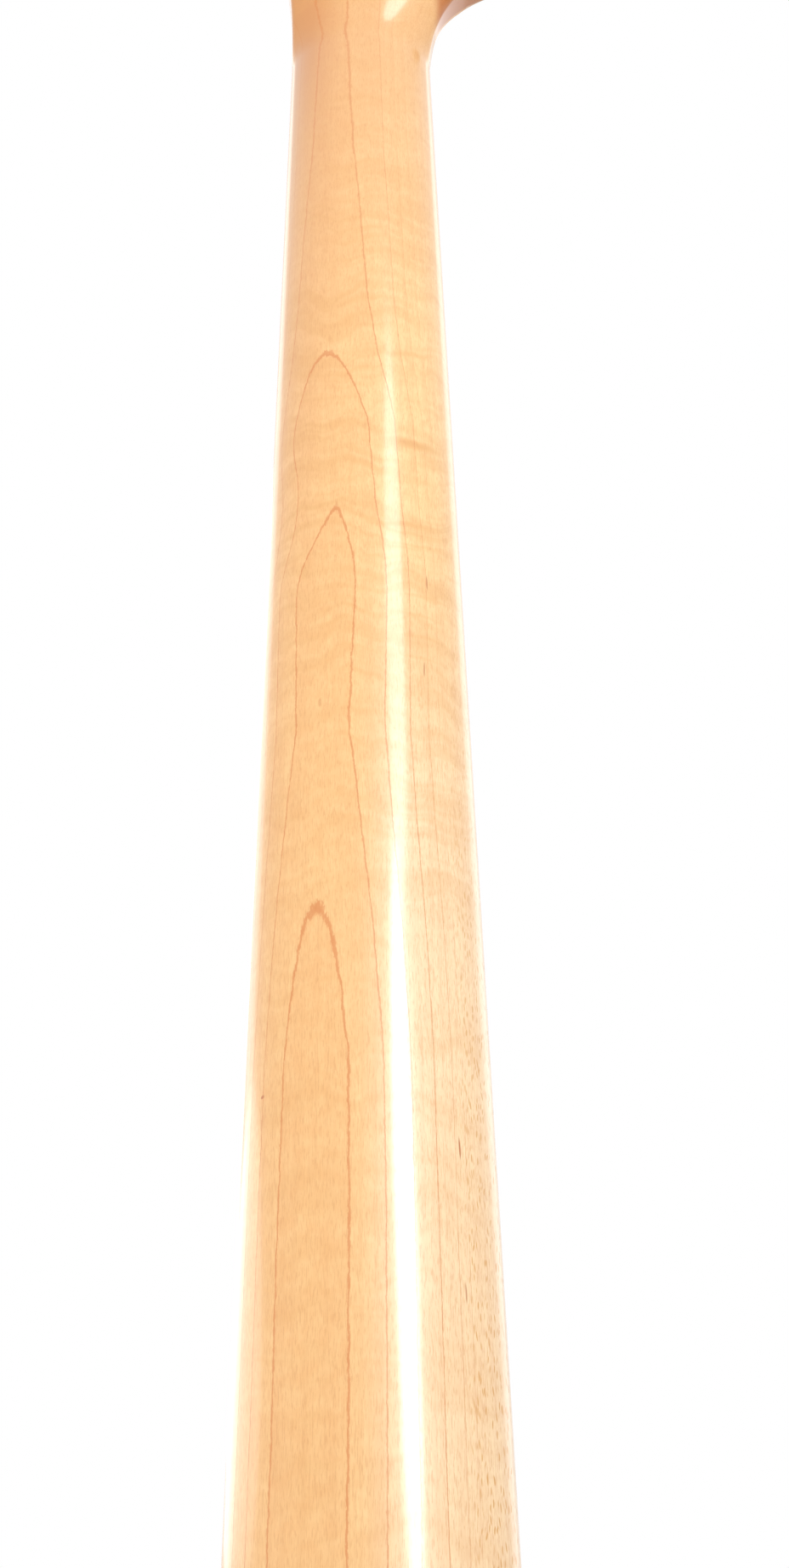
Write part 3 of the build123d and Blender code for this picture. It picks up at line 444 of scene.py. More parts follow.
def back_height(shape, x, z, distance):
    """Height of the neck's back at each point of the plan."""
    heel, scoop = swells(shape, z)
    depth = shape.back_at_nut - GLUE_Y + heel_share(z) * (shape.back_at_heel - shape.back_at_nut)
    arch_depth = depth + SWELL_DEPTH * heel ** 2 + SWELL_DEPTH * scoop ** 2
    side = half_width(shape, z) + shape.side_allowance
    arch_half = side + HEEL_SPREAD * heel ** 2 + SCOOP_SPREAD * scoop ** 2
    power = shape.roundness + HEEL_SQUARENESS * heel ** 2 + SCOOP_SQUARENESS * scoop ** 2
    rise = np.clip(1 - np.clip(np.abs(x) / arch_half, 0, 1) ** power, 0, 1) ** (1 / power)
    arch = GLUE_Y + arch_depth * rise
    arch = np.where((heel >= 1) | (scoop >= 1), ARCH_PAST_FLAT, arch)
    overlap = np.clip(1 - np.abs(arch) / ARCH_BLEND, 0, 1)
    top = np.minimum(arch, 0) - overlap ** 2 * ARCH_BLEND / 4
    radius = LEAST_EDGE + (shape.back_edge - LEAST_EDGE) * np.maximum(heel, scoop)
    return top - edge_drop(distance, radius)


def front_height(shape, z, distance):
    """Height of the neck's front: glue plane, ramp and headstock face."""
    drop = shape.headstock_front - GLUE_Y
    run = math.sqrt(shape.ramp_radius ** 2 - (shape.ramp_radius - drop) ** 2)
    foot = BOARD_END_Z + run
    back = np.clip(foot - z, 0, run)
    ramp = shape.headstock_front - (shape.ramp_radius - np.sqrt(shape.ramp_radius ** 2 - back ** 2))
    face = np.where(z < BOARD_END_Z, GLUE_Y, ramp)
    fade = np.clip((z - shape.access_end) / FRONT_EDGE_FADE, 0, 1)
    return face + edge_drop(distance, shape.front_edge * fade)


def row_heights(shape):
    """Heights of the mesh's rows, closer together where the form turns."""
    heel_turns = np.linspace(0, math.pi / 2, HEEL_STEPS)
    tip_turns = np.linspace(0, math.pi / 2, TIP_STEPS)
    heel_end, heel_step = HEEL_ROWS
    start, step = HEADSTOCK_ROWS
    return np.concatenate([
        HEEL_END_Z + shape.heel_corner * (1 - np.cos(heel_turns)),
        np.arange(HEEL_END_Z + shape.heel_corner + heel_step, heel_end, heel_step),
        *[np.arange(*span) for span in ROW_SPANS],
        np.arange(start, TIP_Z - TIP_CLEAR, step),
        TIP_Z - TIP_SPAN + TIP_SPAN * np.sin(tip_turns),
    ])


def neck_mesh(shape):
    """The carved neck as rows of closed loops, from the heel to the tip, with its faces outward."""
    outlines = plan_outline(shape)
    rows = row_heights(shape)
    left = np.interp(rows, outlines[0][:, 1], outlines[0][:, 0])
    right = np.interp(rows, outlines[1][:, 1], outlines[1][:, 0])
    spread = np.cos(np.linspace(math.pi, 0, BACK_STEPS))
    flat_spread = np.cos(np.linspace(0, math.pi, FRONT_STEPS))
    middle, half = (left + right) / 2, np.maximum((right - left) / 2, LEAST_HALF_WIDTH)
    top_x = middle[:, None] + half[:, None] * spread
    low_x = middle[:, None] + half[:, None] * flat_spread
    top_z = np.repeat(rows[:, None], BACK_STEPS, axis=1)
    low_z = np.repeat(rows[:, None], FRONT_STEPS, axis=1)
    top_y = back_height(shape, top_x, top_z, edge_distance(top_x, top_z, outlines))
    low_y = front_height(shape, low_z, edge_distance(low_x, low_z, outlines))
    steps = np.linspace(0, 1, WALL_STEPS + 1)[1:-1]
    left_y = low_y[:, -1:] + (top_y[:, :1] - low_y[:, -1:]) * steps
    right_y = top_y[:, -1:] + (low_y[:, :1] - top_y[:, -1:]) * steps
    left_x = np.repeat(left[:, None], len(steps), axis=1)
    right_x = np.repeat(right[:, None], len(steps), axis=1)
    xs = np.hstack([top_x, right_x, low_x, left_x])
    ys = np.hstack([top_y, right_y, low_y, left_y])
    zs = np.repeat(rows[:, None], xs.shape[1], axis=1)
    points = np.stack([xs, ys, zs], axis=2)
    count, loop = xs.shape
    faces = []
    for row in range(count - 1):
        base = row * loop
        for step in range(loop):
            nxt = (step + 1) % loop
            faces.append((base + step, base + loop + step, base + loop + nxt, base + nxt))
    faces.append(tuple(range(loop)))
    faces.append(tuple(range((count - 1) * loop, count * loop))[::-1])
    mesh = bpy.data.meshes.new("neck_maple")
    mesh.from_pydata(points.reshape(-1, 3).tolist(), [], faces)
    mesh.validate()
    return mesh


def cutter_rod(centre, radius, length):
    """A round cutting tool from its middle, along Y."""
    shape = bmesh.new()
    matrix = Matrix.Translation(centre) @ Matrix.Rotation(math.pi / 2, 4, "X")
    bmesh.ops.create_cone(shape, cap_ends=True, segments=BORE_STEPS, radius1=radius, radius2=radius,
                          depth=length, matrix=matrix)
    return shape


def place_object(name, data):
    """A new object in the scene."""
    piece = bpy.data.objects.new(name, data)
    bpy.context.scene.collection.objects.link(piece)
    return piece


def as_object(name, shape):
    """A closed bmesh as an object in the scene, with its faces outward."""
    mesh = bpy.data.meshes.new(name)
    bmesh.ops.recalc_face_normals(shape, faces=shape.faces)
    shape.to_mesh(mesh)
    shape.free()
    return place_object(name, mesh)


def cut(piece, tools):
    """Cuts the tools out of a piece, and removes them."""
    for tool in tools:
        step = piece.modifiers.new("cut", "BOOLEAN")
        step.object = tool
        step.operation = "DIFFERENCE"
        step.solver = "EXACT"
    graph = bpy.context.evaluated_depsgraph_get()
    shaped = bpy.data.meshes.new_from_object(piece.evaluated_get(graph))
    piece.modifiers.clear()
    piece.data = shaped
    for tool in tools:
        bpy.data.objects.remove(tool, do_unlink=True)


def merge_close(piece, distance):
    """Merges points closer than a distance, which closes an edge of no width."""
    shape = bmesh.new()
    shape.from_mesh(piece.data)
    bmesh.ops.remove_doubles(shape, verts=shape.verts, dist=distance)
    shape.to_mesh(piece.data)
    shape.free()


def finish_mesh(piece):
    """Smooth shading, with its sharper edges kept sharp."""
    for face in piece.data.polygons:
        face.use_smooth = True
    piece.data.set_sharp_from_angle(angle=SHARP_ANGLE)


def access_slot(shape):
    """The truss rod's access slot as one cutting tool with a round floor and end."""
    radius = shape.access_radius
    tool = bmesh.new()
    turns = np.linspace(0, math.pi, SLOT_STEPS)
    profile = [(radius * math.cos(t), shape.rod_axis + radius * math.sin(t)) for t in turns]
    opening = GLUE_Y - 2 * CUT_MARGIN
    profile += [(-radius, opening), (radius, opening)]
    start, end = shape.access_end - ACCESS_LENGTH, shape.access_end - radius
    rings = [[tool.verts.new((x, y, z)) for x, y in profile] for z in (start, end)]
    count = len(profile)
    for step in range(count):
        nxt = (step + 1) % count
        tool.faces.new((rings[0][step], rings[0][nxt], rings[1][nxt], rings[1][step]))
    tool.faces.new(rings[0])
    tool.faces.new(rings[1][::-1])
    return tool


# ---------------------------------------------------------------- shared effects

# Growth rings of the board, in millimetres: how the rings lean across the neck, how they drift up and down
# along it (height along the neck, drift), and the level of each growth line from front to back.
RING_LEAN = 0.25
DRIFT_SPAN = 10.0
RING_DRIFT = ((-40, 6.6), (120, 7.1), (180, 7.45), (225, 7.7), (255, 7.33), (285, 6.74), (310, 6.38),
              (350, 6.95), (360, 6.85), (377, 6.2), (390, 6.05), (405, 5.95), (430, 4.46), (450, 3.85),
              (510, 3.3), (558, 3.35), (566, 3.0), (572, 2.35), (578, 1.3), (586, -0.7), (620, -0.9),
              (800, -2.2))
# The one cathedral tip that leans, and the rise of the lines up the treble flank near the scoop.
SKEWED_TIP_Z = 377.0
SKEW_ALONG = (4.0, 26.0, 1.0, 0.0)
SKEW_ACROSS = (7.0, 18.5, 0.10, -1.20)
FLANK_RISE = -3.4
RISE_ACROSS = (5.0, 20.0)
RISE_ALONG = (556.0, 590.0)
# A line's width as a share of the gap to the next, and its strength from front to back.
LINE_WIDTH = (0.020, 0.044)
LINE_STRENGTH = (-7.0, 0.0, 0.22, 1.0)
RING_LEVELS = (-26.0, -23.4, -20.9, -18.2, -15.8, -13.1, -10.7, -8.6, -6.3, -4.3, -2.5, 0.0, 2.4, 4.5, 6.3,
               8.6, 11.0, 14.0)


def set_curve(node, places):
    """Shapes a Float Curve through the given places, with straight runs between them."""
    curve = node.mapping.curves[0]
    node.mapping.use_clip = False
    curve.points[0].location = places[0]
    curve.points[1].location = places[-1]
    for place in places[1:-1]:
        curve.points.new(*place)
    for point in curve.points:
        point.handle_type = "VECTOR"
    node.mapping.update()


def growth_rings_group():
    """Growth lines of a flat-sawn board, found in the solid wood, with their tone between lines."""
    tree, source, result = new_effect("Growth Rings", {"Waviness": 1.0}, ("Line", "Tone"))
    place = source["Vector"]
    x, y, z = split_vector(tree, place)
    low_z, high_z = RING_DRIFT[0][0], RING_DRIFT[-1][0]
    drift = add_node(tree, "ShaderNodeFloatCurve", {"Value": map_range(tree, z, low_z, high_z, smooth=False)})
    set_curve(drift, [((at - low_z) / (high_z - low_z), value / DRIFT_SPAN) for at, value in RING_DRIFT])
    drifted = times_plus(tree, drift.outputs[0], DRIFT_SPAN, times_plus(tree, x, RING_LEAN, y))
    beside_tip = math_node(tree, "ABSOLUTE", less(tree, z, SKEWED_TIP_Z))
    skew = product(tree, map_range(tree, beside_tip, *SKEW_ALONG),
                   map_range(tree, x, *SKEW_ACROSS, smooth=False))
    drifted = math_node(tree, "ADD", drifted, skew)
    flank = product(tree, map_range(tree, x, *RISE_ACROSS), map_range(tree, z, *RISE_ALONG))
    drifted = times_plus(tree, flank, FLANK_RISE, drifted)
    slow = noise(tree, place, (0.05, 0.05, 0.012), detail=1.0)
    ripple = noise(tree, place, (0.6, 0.6, 0.22), (7, 3, 1), detail=4.0, roughness=0.65)
    waves = product(tree, less(tree, ripple, 0.5), 0.21)
    offset = times_plus(tree, less(tree, slow, 0.5), 0.3, waves)
    level = times_plus(tree, offset, source["Waviness"], drifted)
    first, last, count = RING_LEVELS[0], RING_LEVELS[-1], len(RING_LEVELS) - 1
    counter = add_node(tree, "ShaderNodeFloatCurve",
                       {"Value": map_range(tree, level, first, last, smooth=False)})
    set_curve(counter, [((value - first) / (last - first), index / count)
                        for index, value in enumerate(RING_LEVELS)])
    phase = math_node(tree, "FRACT", product(tree, counter.outputs[0], count))
    near = math_node(tree, "MINIMUM", phase, less(tree, 1.0, phase))
    grit = noise(tree, place, (3.0, 3.0, 0.7))
    width = map_range(tree, grit, 0.3, 0.7, *LINE_WIDTH)
    line = map_range(tree, math_node(tree, "DIVIDE", near, width), 0.35, 1.0, 1.0, 0.0)
    strength = map_range(tree, level, *LINE_STRENGTH)
    fill(tree, result, {"Line": product(tree, line, strength), "Tone": phase})
    return tree


def fibre_group():
    """Fine fibre streaks that run along the wood."""
    tree, source, result = new_effect("Wood Fibre", {}, ("Streaks", "Fine", "Pores", "Dashes"))
    place = source["Vector"]
    dashes = noise(tree, place, (5.0, 5.0, 0.42), (2, 5, 7), roughness=0.6)
    broad = noise(tree, place, (0.9, 0.9, 0.012), detail=3.0, roughness=0.6)
    fine = noise(tree, place, (6.0, 6.0, 0.12), detail=3.0, roughness=0.65)
    pores = noise(tree, place, (4.5, 4.5, 0.22), (3, 9, 4), detail=1.5)
    fill(tree, result, {
        "Streaks": map_range(tree, broad, 0.35, 0.65), "Fine": map_range(tree, fine, 0.42, 0.72),
        "Pores": map_range(tree, pores, 0.60, 0.68), "Dashes": map_range(tree, dashes, 0.50, 0.64)})
    return tree


def curl_group():
    """Soft cross-grain bands of curly figure, strongest around a height."""
    tree, source, result = new_effect("Curl", {"Middle": 400.0, "Spread": 120.0}, ("Bands",))
    place = source["Vector"]
    x, y, z = split_vector(tree, place)
    bent = times_plus(tree, noise(tree, place, (0.06, 0.06, 0.02)), 26.0, z)
    moved = add_node(tree, "ShaderNodeCombineXYZ", {0: x, 1: y, 2: bent}).outputs[0]
    broad = noise(tree, moved, (0.020, 0.04, 0.13), detail=2.5, roughness=0.45)
    narrow = noise(tree, moved, (0.045, 0.06, 0.42), (4, 1, 9), detail=1.5)
    bands = times_plus(tree, narrow, 0.4, product(tree, broad, 0.6))
    away = math_node(tree, "ABSOLUTE", less(tree, z, source["Middle"]))
    share = math_node(tree, "DIVIDE", away, source["Spread"])
    strength = map_range(tree, share, 0.25, 1.4, 1.0, 0.50)
    fill(tree, result, {"Bands": product(tree, map_range(tree, bands, 0.40, 0.68), strength)})
    return tree


# Natural marks in the back of the maple, in millimetres: place across and along, half width, half length, and
# depth of tone from 0 to 1; then how far their edges wander.
MINERAL_STREAKS = ((-15.0, 354.0, 0.22, 3.0, 0.75), (-14.0, 327.0, 0.22, 2.9, 0.75),
                   (-18.8, 205.0, 0.23, 3.2, 0.9), (-19.1, 174.0, 0.20, 2.7, 0.7),
                   (10.8, 317.0, 0.45, 1.6, 0.30), (22.2, 218.0, 0.50, 0.55, 0.9))
FIGURE_BANDS = ((-12.0, 398.5, 11.0, 2.4, 1.0), (-8.5, 371.0, 11.0, 1.2, 0.7), (-14.0, 349.0, 8.0, 0.9, 0.35),
                (-13.0, 343.0, 9.0, 0.9, 0.35), (-14.5, 336.5, 8.0, 0.9, 0.35), (-13.0, 330.0, 8.0, 0.9, 0.3),
                (4.0, 404.0, 9.0, 2.6, 0.30), (6.0, 385.0, 8.0, 2.0, 0.22), (-4.0, 440.0, 14.0, 2.4, 0.22),
                (-6.0, 468.0, 13.0, 2.2, 0.25), (-9.0, 500.0, 11.0, 2.4, 0.25), (11.4, 261.0, 1.7, 2.6, 0.7),
                (14.8, 357.5, 1.7, 3.2, 0.40))
MARK_WANDER = (1.6, 0, 2.4)


def wood_marks(tree, place, marks, inner):
    """A mask of soft-edged marks, each an ellipse on the back of the neck."""
    wander = noise(tree, place, (0.12, 0.12, 0.05), output="Color")
    moved = vector_node(tree, "MULTIPLY_ADD", {0: wander, 1: MARK_WANDER, 2: place})
    mid_across, mid_along = MARK_WANDER[0] / 2, MARK_WANDER[2] / 2
    mask = 0.0
    for across, along, half_wide, half_long, depth in marks:
        sized = stretched(tree, moved, (1 / half_wide, 0, 1 / half_long),
                          (-(across + mid_across) / half_wide, 0, -(along + mid_along) / half_long))
        away = vector_node(tree, "LENGTH", {0: sized}, "Value")
        mask = math_node(tree, "MAXIMUM", mask, map_range(tree, away, inner, 1.0, depth, 0.0))
    return mask


def ray_fleck_group():
    """Small lens-shaped ray flecks: short dashes on the flat, taller flecks on the quartered sides."""
    tree, source, result = new_effect("Ray Flecks", {}, ("Flecks",))
    place = source["Vector"]
    wander = noise(tree, place, (0.25, 0.25, 0.25), detail=1.0)
    shifted = vector_node(tree, "ADD", {0: place, 1: wander})
    cells = {"Vector": stretched(tree, shifted, (2.4, 0.62, 0.34)), "Scale": 1.0, "Randomness": 1.0}
    texture = add_node(tree, "ShaderNodeTexVoronoi", cells)
    pick = add_node(tree, "ShaderNodeSeparateColor", {0: texture.outputs["Color"]}).outputs[0]
    spot = map_range(tree, texture.outputs["Distance"], 0.20, 0.42, 1.0, 0.0)
    fill(tree, result, {"Flecks": product(tree, spot, map_range(tree, pick, 0.15, 0.50))})
    return tree


def handling_group():
    """Finger marks, dull patches and fine scratches on a smooth surface."""
    tree, source, result = new_effect("Handling", {"Grain Size": 1.0}, ("Smudge", "Scratches", "Mottle"))
    place = vector_node(tree, "SCALE", {0: source["Vector"], 3: source["Grain Size"]})
    smudge = noise(tree, place, (0.16, 0.16, 0.12), detail=4.0, roughness=0.6)
    mottle = noise(tree, place, (0.9, 0.9, 0.9), (5, 2, 8), detail=3.0, roughness=0.55)
    cross = noise(tree, place, (7.0, 7.0, 0.35), (1, 4, 2), detail=1.5, roughness=0.6)
    along = noise(tree, place, (0.35, 5.0, 7.0), (6, 2, 3), detail=1.5, roughness=0.6)
    either = math_node(tree, "MAXIMUM", map_range(tree, cross, 0.64, 0.72),
                       map_range(tree, along, 0.66, 0.74))
    fill(tree, result, {"Smudge": map_range(tree, smudge, 0.38, 0.68), "Scratches": either,
                        "Mottle": map_range(tree, mottle, 0.3, 0.7)})
    return tree


EFFECTS = {
    "Growth Rings": growth_rings_group, "Wood Fibre": fibre_group, "Curl": curl_group,
    "Ray Flecks": ray_fleck_group, "Handling": handling_group,
}


# ---------------------------------------------------------------- materials

# Where the maple's tone changes, in millimetres across, deep into and along the neck: from, to and, where
# they are not 0 and 1, the shares there.
# Painted highlight halo: the maple lightens towards the bass side, around the long softbox's highlight.
PAINTED_HALO_ACROSS = (14.0, -16.0, 0.0, 0.45)
# Painted shade on the treble flank, growing towards the headstock end and fading out over the headstock.
SHADED_FLANK_ACROSS = (3.0, 17.0)
SHADED_FLANK_DEEP = (-14.0, -12.0)
FLANK_SHADE_MID_ALONG = (330.0, 440.0, 0.0, 0.24)
FLANK_SHADE_TOP_ALONG = (500.0, 585.0, 0.0, 0.42)
FLANK_SHADE_FADE = (592.0, 670.0, 1.0, 0.0)
# The whole back grows darker towards the headstock end.
DARKER_TOWARDS_HEAD_ALONG = (400.0, 590.0, 0.0, 0.46)
# Painted highlight halo, not sapwood: paler on the bass side towards the heel end, around the long softbox's
# highlight.
LOW_HALO_ACROSS = (3.0, -10.0)
LOW_HALO_ALONG = (380.0, 260.0, 0.0, 0.56)
BASS_SIDE = (-17.5, -21.5, 0.05, 1.0)
TREBLE_SIDE = (19.0, 24.0, 0.0, 0.40)
FLECKS_ALONG = (420.0, 140.0, 0.35, 1.0)
LINES_ALONG = (400.0, 540.0, 0.66, 0.46)
# The flare's side wall: darker end grain, and painted shade over it, in the mineral streak tone.
END_GRAIN_SHADE_ACROSS = (-21.5, -24.5)
END_GRAIN_SHADE_DEEP = ((-0.8, -2.2), (-14.4, -13.6))
END_GRAIN_SHADE_ALONG = ((566.0, 574.0, 0.0, 0.85), (594.0, 612.0, 1.0, 0.0))
PORE_COLOUR = (0.012, 0.006, 0.004)
FINE_BUMP = 0.03 * MM
PORE_BUMP = 0.12 * MM


def maple_lacquered(finish):
    """Flamed maple under a clear gloss lacquer."""
    material, tree, shader, place = new_material(
        "maple_lacquered", Roughness=0.32, IOR=1.5, Specular_IOR_Level=0.5,
        Coat_Weight=1.0, Coat_Roughness=0.115, Coat_IOR=1.52)
    rings = use_effect(tree, "Growth Rings", place, Waviness=1.0)
    fibre = use_effect(tree, "Wood Fibre", place)
    curl = use_effect(tree, "Curl", place, Middle=400.0, Spread=120.0)
    flecks = use_effect(tree, "Ray Flecks", place)
    handling = use_effect(tree, "Handling", place, Grain_Size=0.35)
    across, deep, along = split_vector(tree, place)
    fleck, golden, mark = finish.maple_fleck, finish.maple_curl, finish.maple_mark

    # Random mottle and growth-ring tone, plus the painted highlight halo that lightens the bass side.
    mottle_and_halo = times_plus(tree, handling["Mottle"], 0.26, map_range(tree, across, *PAINTED_HALO_ACROSS))
    mottle_and_halo = times_plus(tree, rings["Tone"], 0.22, mottle_and_halo)
    wood = mix_colour(tree, mottle_and_halo, finish.maple, finish.maple_light)
    # Painted shade: the treble flank darkened towards the headstock end, mixed in with the ray fleck tone.
    flank = product(tree, map_range(tree, across, *SHADED_FLANK_ACROSS), map_range(tree, deep, *SHADED_FLANK_DEEP))
    flank_shade_mid = product(tree, flank, map_range(tree, along, *FLANK_SHADE_MID_ALONG))
    flank_shade_top = product(tree, flank, map_range(tree, along, *FLANK_SHADE_TOP_ALONG))
    flank_painted_shade = product(tree, math_node(tree, "ADD", flank_shade_mid, flank_shade_top), map_range(tree, along, *FLANK_SHADE_FADE))
    # The flank's painted shade, plus the back growing darker towards the headstock end.
    flank_shade_and_darkening = math_node(tree, "ADD", flank_painted_shade, map_range(tree, along, *DARKER_TOWARDS_HEAD_ALONG))
    wood = mix_colour(tree, flank_shade_and_darkening, wood, fleck)
    # Painted highlight halo: the bass side paled towards the heel end with the halo tone.
    painted_low_halo = product(tree, map_range(tree, across, *LOW_HALO_ACROSS), map_range(tree, along, *LOW_HALO_ALONG))
    wood = mix_colour(tree, painted_low_halo, wood, finish.maple_halo_tone)

    wood = mix_colour(tree, product(tree, fibre["Streaks"], 0.14), wood, fleck)
    wood = mix_colour(tree, product(tree, curl["Bands"], 0.50), wood, golden)
    wood = mix_colour(tree, product(tree, wood_marks(tree, place, FIGURE_BANDS, 0.1), 0.80), wood, golden)
    wood = mix_colour(tree, product(tree, fibre["Fine"], 0.14), wood, fleck)
    wood = mix_colour(tree, product(tree, fibre["Dashes"], 0.40), wood, fleck)
    sides = math_node(tree, "MAXIMUM", map_range(tree, across, *BASS_SIDE),
                      map_range(tree, across, *TREBLE_SIDE))
    sides = product(tree, sides, map_range(tree, along, *FLECKS_ALONG))
    wood = mix_colour(tree, product(tree, flecks["Flecks"], sides), wood, golden)
    drawn = product(tree, rings["Line"], map_range(tree, along, *LINES_ALONG))
    wood = mix_colour(tree, drawn, wood, finish.maple_line)
    wood = mix_colour(tree, wood_marks(tree, place, MINERAL_STREAKS, 0.45), wood, mark)
    # End grain on the flare's side wall, darkened further as painted shade that hides the edge light's
    # reflection there.
    end_grain_and_shade = product(tree, map_range(tree, across, *END_GRAIN_SHADE_ACROSS),
                        *[map_range(tree, deep, *span) for span in END_GRAIN_SHADE_DEEP],
                        *[map_range(tree, along, *span) for span in END_GRAIN_SHADE_ALONG])
    fill(tree, shader, {"Base Color": mix_colour(tree, end_grain_and_shade, wood, mark)})
    return material


def rosewood_oiled(finish):
    """Oiled rosewood with dark streaks and open pores."""
    material, tree, shader, place = new_material("rosewood_oiled", IOR=1.48, Specular_IOR_Level=0.45)
    fibre = use_effect(tree, "Wood Fibre", place)
    marks = use_effect(tree, "Handling", place, Grain_Size=0.8)
    wood = mix_colour(tree, fibre["Streaks"], finish.rosewood, finish.rosewood_streak)
    wood = mix_colour(tree, product(tree, fibre["Fine"], 0.5), wood, PORE_COLOUR)
    gloss = times_plus(tree, marks["Smudge"], 0.14, 0.40)
    height = times_plus(tree, fibre["Pores"], -1.0, product(tree, fibre["Fine"], -0.25))
    fill(tree, shader, {
        "Base Color": mix_colour(tree, fibre["Pores"], wood, PORE_COLOUR),
        "Roughness": times_plus(tree, fibre["Pores"], 0.25, gloss),
        "Normal": bump(tree, height, 0.5, PORE_BUMP)})
    return material


def metal(name, colour, dull, gloss, rough, scratch_depth, grain_size=1.0):
    """A polished metal with finger marks, faint tarnish and fine scratches."""
    material, tree, shader, place = new_material(name, Metallic=1.0, IOR=1.5)
    marks = use_effect(tree, "Handling", place, Grain_Size=grain_size)
    tarnish = mix_colour(tree, product(tree, marks["Mottle"], 0.20), colour, dull)
    smudged = times_plus(tree, marks["Smudge"], rough - gloss, gloss)
    height = times_plus(tree, marks["Scratches"], -1.0, product(tree, marks["Mottle"], 0.04))
    fill(tree, shader, {
        "Base Color": mix_colour(tree, product(tree, marks["Scratches"], 0.25), tarnish, colour),
        "Roughness": times_plus(tree, marks["Scratches"], 0.12, smudged),
        "Normal": bump(tree, height, scratch_depth, FINE_BUMP)})
    return material


def polished(name, colour, shade, rough, coat):
    """A polished bone or plastic with cloudy tone and a little handling."""
    material, tree, shader, place = new_material(
        name, IOR=1.5, Coat_Weight=coat, Coat_Roughness=0.12, Specular_IOR_Level=0.5)
    marks = use_effect(tree, "Handling", place, Grain_Size=1.4)
    fill(tree, shader, {
        "Base Color": mix_colour(tree, product(tree, marks["Mottle"], 0.6), colour, shade),
        "Roughness": times_plus(tree, marks["Smudge"], 0.15, rough),
        "Normal": bump(tree, product(tree, marks["Scratches"], -1.0), 0.3, FINE_BUMP)})
    return material


def pearl(finish):
    """Mother-of-pearl plastic with swirling bands."""
    material, tree, shader, place = new_material(
        "pearl_dots", Coat_Weight=0.8, Coat_Roughness=0.06, Roughness=0.3)
    warp = noise(tree, place, (0.3, 0.3, 0.3), output="Color")
    pushed = vector_node(tree, "MULTIPLY_ADD",
                         {0: warp, 1: (9, 9, 9), 2: stretched(tree, place, (0.5, 0.5, 0.9))})
    swirl = map_range(tree, noise(tree, pushed, (1, 1, 1), detail=3.0), 0.35, 0.62)
    fill(tree, shader, {"Base Color": mix_colour(tree, swirl, finish.pearl, finish.pearl_shade)})
    return material


def finish_material(name):
    """The material of a finish, built the first time it is asked for."""
    known = bpy.data.materials.get(name)
    if known:
        return known
    finish = bpy.context.scene.bass_neck_finish
    makers = {
        "maple_lacquered": lambda: maple_lacquered(finish),
        "rosewood_oiled": lambda: rosewood_oiled(finish),
        "pearl_dots": lambda: pearl(finish),
        "nickel_plate": lambda: metal(name, finish.nickel, finish.nickel_dull, 0.10, 0.24, 0.25),
        "nickel_silver_frets": lambda: metal(name, finish.fret_wire, finish.nickel_dull, 0.16, 0.32, 0.4),
        "machined_brass": lambda: metal(name, finish.brass, finish.brass_dull, 0.22, 0.38, 0.35),
        "screw_steel": lambda: metal(name, finish.screw, finish.nickel_dull, 0.16, 0.30, 0.35, 1.6),
        "rod_steel": lambda: metal(name, finish.rod, finish.rod, 0.30, 0.48, 0.5),
        "bone_nut": lambda: polished(name, finish.bone, finish.bone_shade, 0.28, 0.35),
        "side_dot_plastic": lambda: polished(name, finish.side_dot, finish.side_dot, 0.32, 0.2),
    }
    return makers[name]()


def dress(nodes, finish_name):
    """Gives CAD nodes a finish in their own material slots."""
    material = finish_material(finish_name)
    for name in nodes:
        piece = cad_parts[name]
        if not piece.material_slots:
            piece.data.materials.append(material)
        for place in piece.material_slots:
            place.material = material


# ---------------------------------------------------------------- stage

# Each lamp that lights only the neck: its power's setting, place, target, size and lean in degrees.
NECK_LAMPS = {
    "softbox_long": ("key_power", (-0.24, 0.80, 0.535), (-0.005, 0, 0.30), (0.18, 0.50), 7),
    "softbox_glow": ("glow_power", (-0.15, 0.80, 0.90), (-0.005, 0, 0.90), (0.50, 1.20), 8),
    "softbox_upper": ("upper_power", (-0.28, 0.80, 1.02), (0, 0, 0.45), (0.20, 0.40), 0),
    "softbox_low": ("low_power", (0.50, -0.20, 0.365), (0, 0, 0.365), (0.90, 0.23), 0),
    "edge_light_bass": ("rim_power", (-0.50, -0.42, 0.78), (0, 0, 0.78), (0.30, 1.35), 0),
    "edge_light_treble": ("rim_power", (0.50, -0.42, 0.78), (0, 0, 0.78), (0.30, 1.35), 9),
}
# Each lamp that lights everything: its power's setting, place, target, size and whether reflections show it.
ROOM_LAMPS = {
    "softbox_bass": ("bass_power", (-0.75, 0.62, 0.85), (0, 0, 0.28), (0.8, 0.8), False),
    "softbox_treble": ("treble_power", (0.75, 0.45, 0.30), (0, 0, 0.12), (0.6, 0.5), False),
    "softbox_front": ("front_power", (0.3, -1.1, 0.9), (0, 0, 0.4), (0.8, 0.8), True),
}
# The floor: half its width, its gap under the heel, its colour, and its glow by distance in millimetres.
FLOOR_HALF = 12.0
FLOOR_GAP = 0.5 * MM
FLOOR_TONE = (0.86, 0.86, 0.86, 1)
FLOOR_GLOW = (150.0, 1500.0, 0.34, 0.62)


def area_lamp(name, place, target, size, strength, shape="RECTANGLE", lean=0.0, glossy=True):
    """A soft lamp that the camera doesn't see."""
    light = bpy.data.lights.new(name, "AREA")
    light.shape = shape
    light.size, light.size_y = size
    light.energy = strength
    lamp = place_object(name, light)
    lamp.location = place
    lamp.rotation_euler = (Vector(target) - lamp.location).to_track_quat("-Z", "Y").to_euler()
    lamp.rotation_euler.rotate_axis("Z", lean)
    lamp.visible_camera = False
    lamp.visible_glossy = glossy
    return lamp


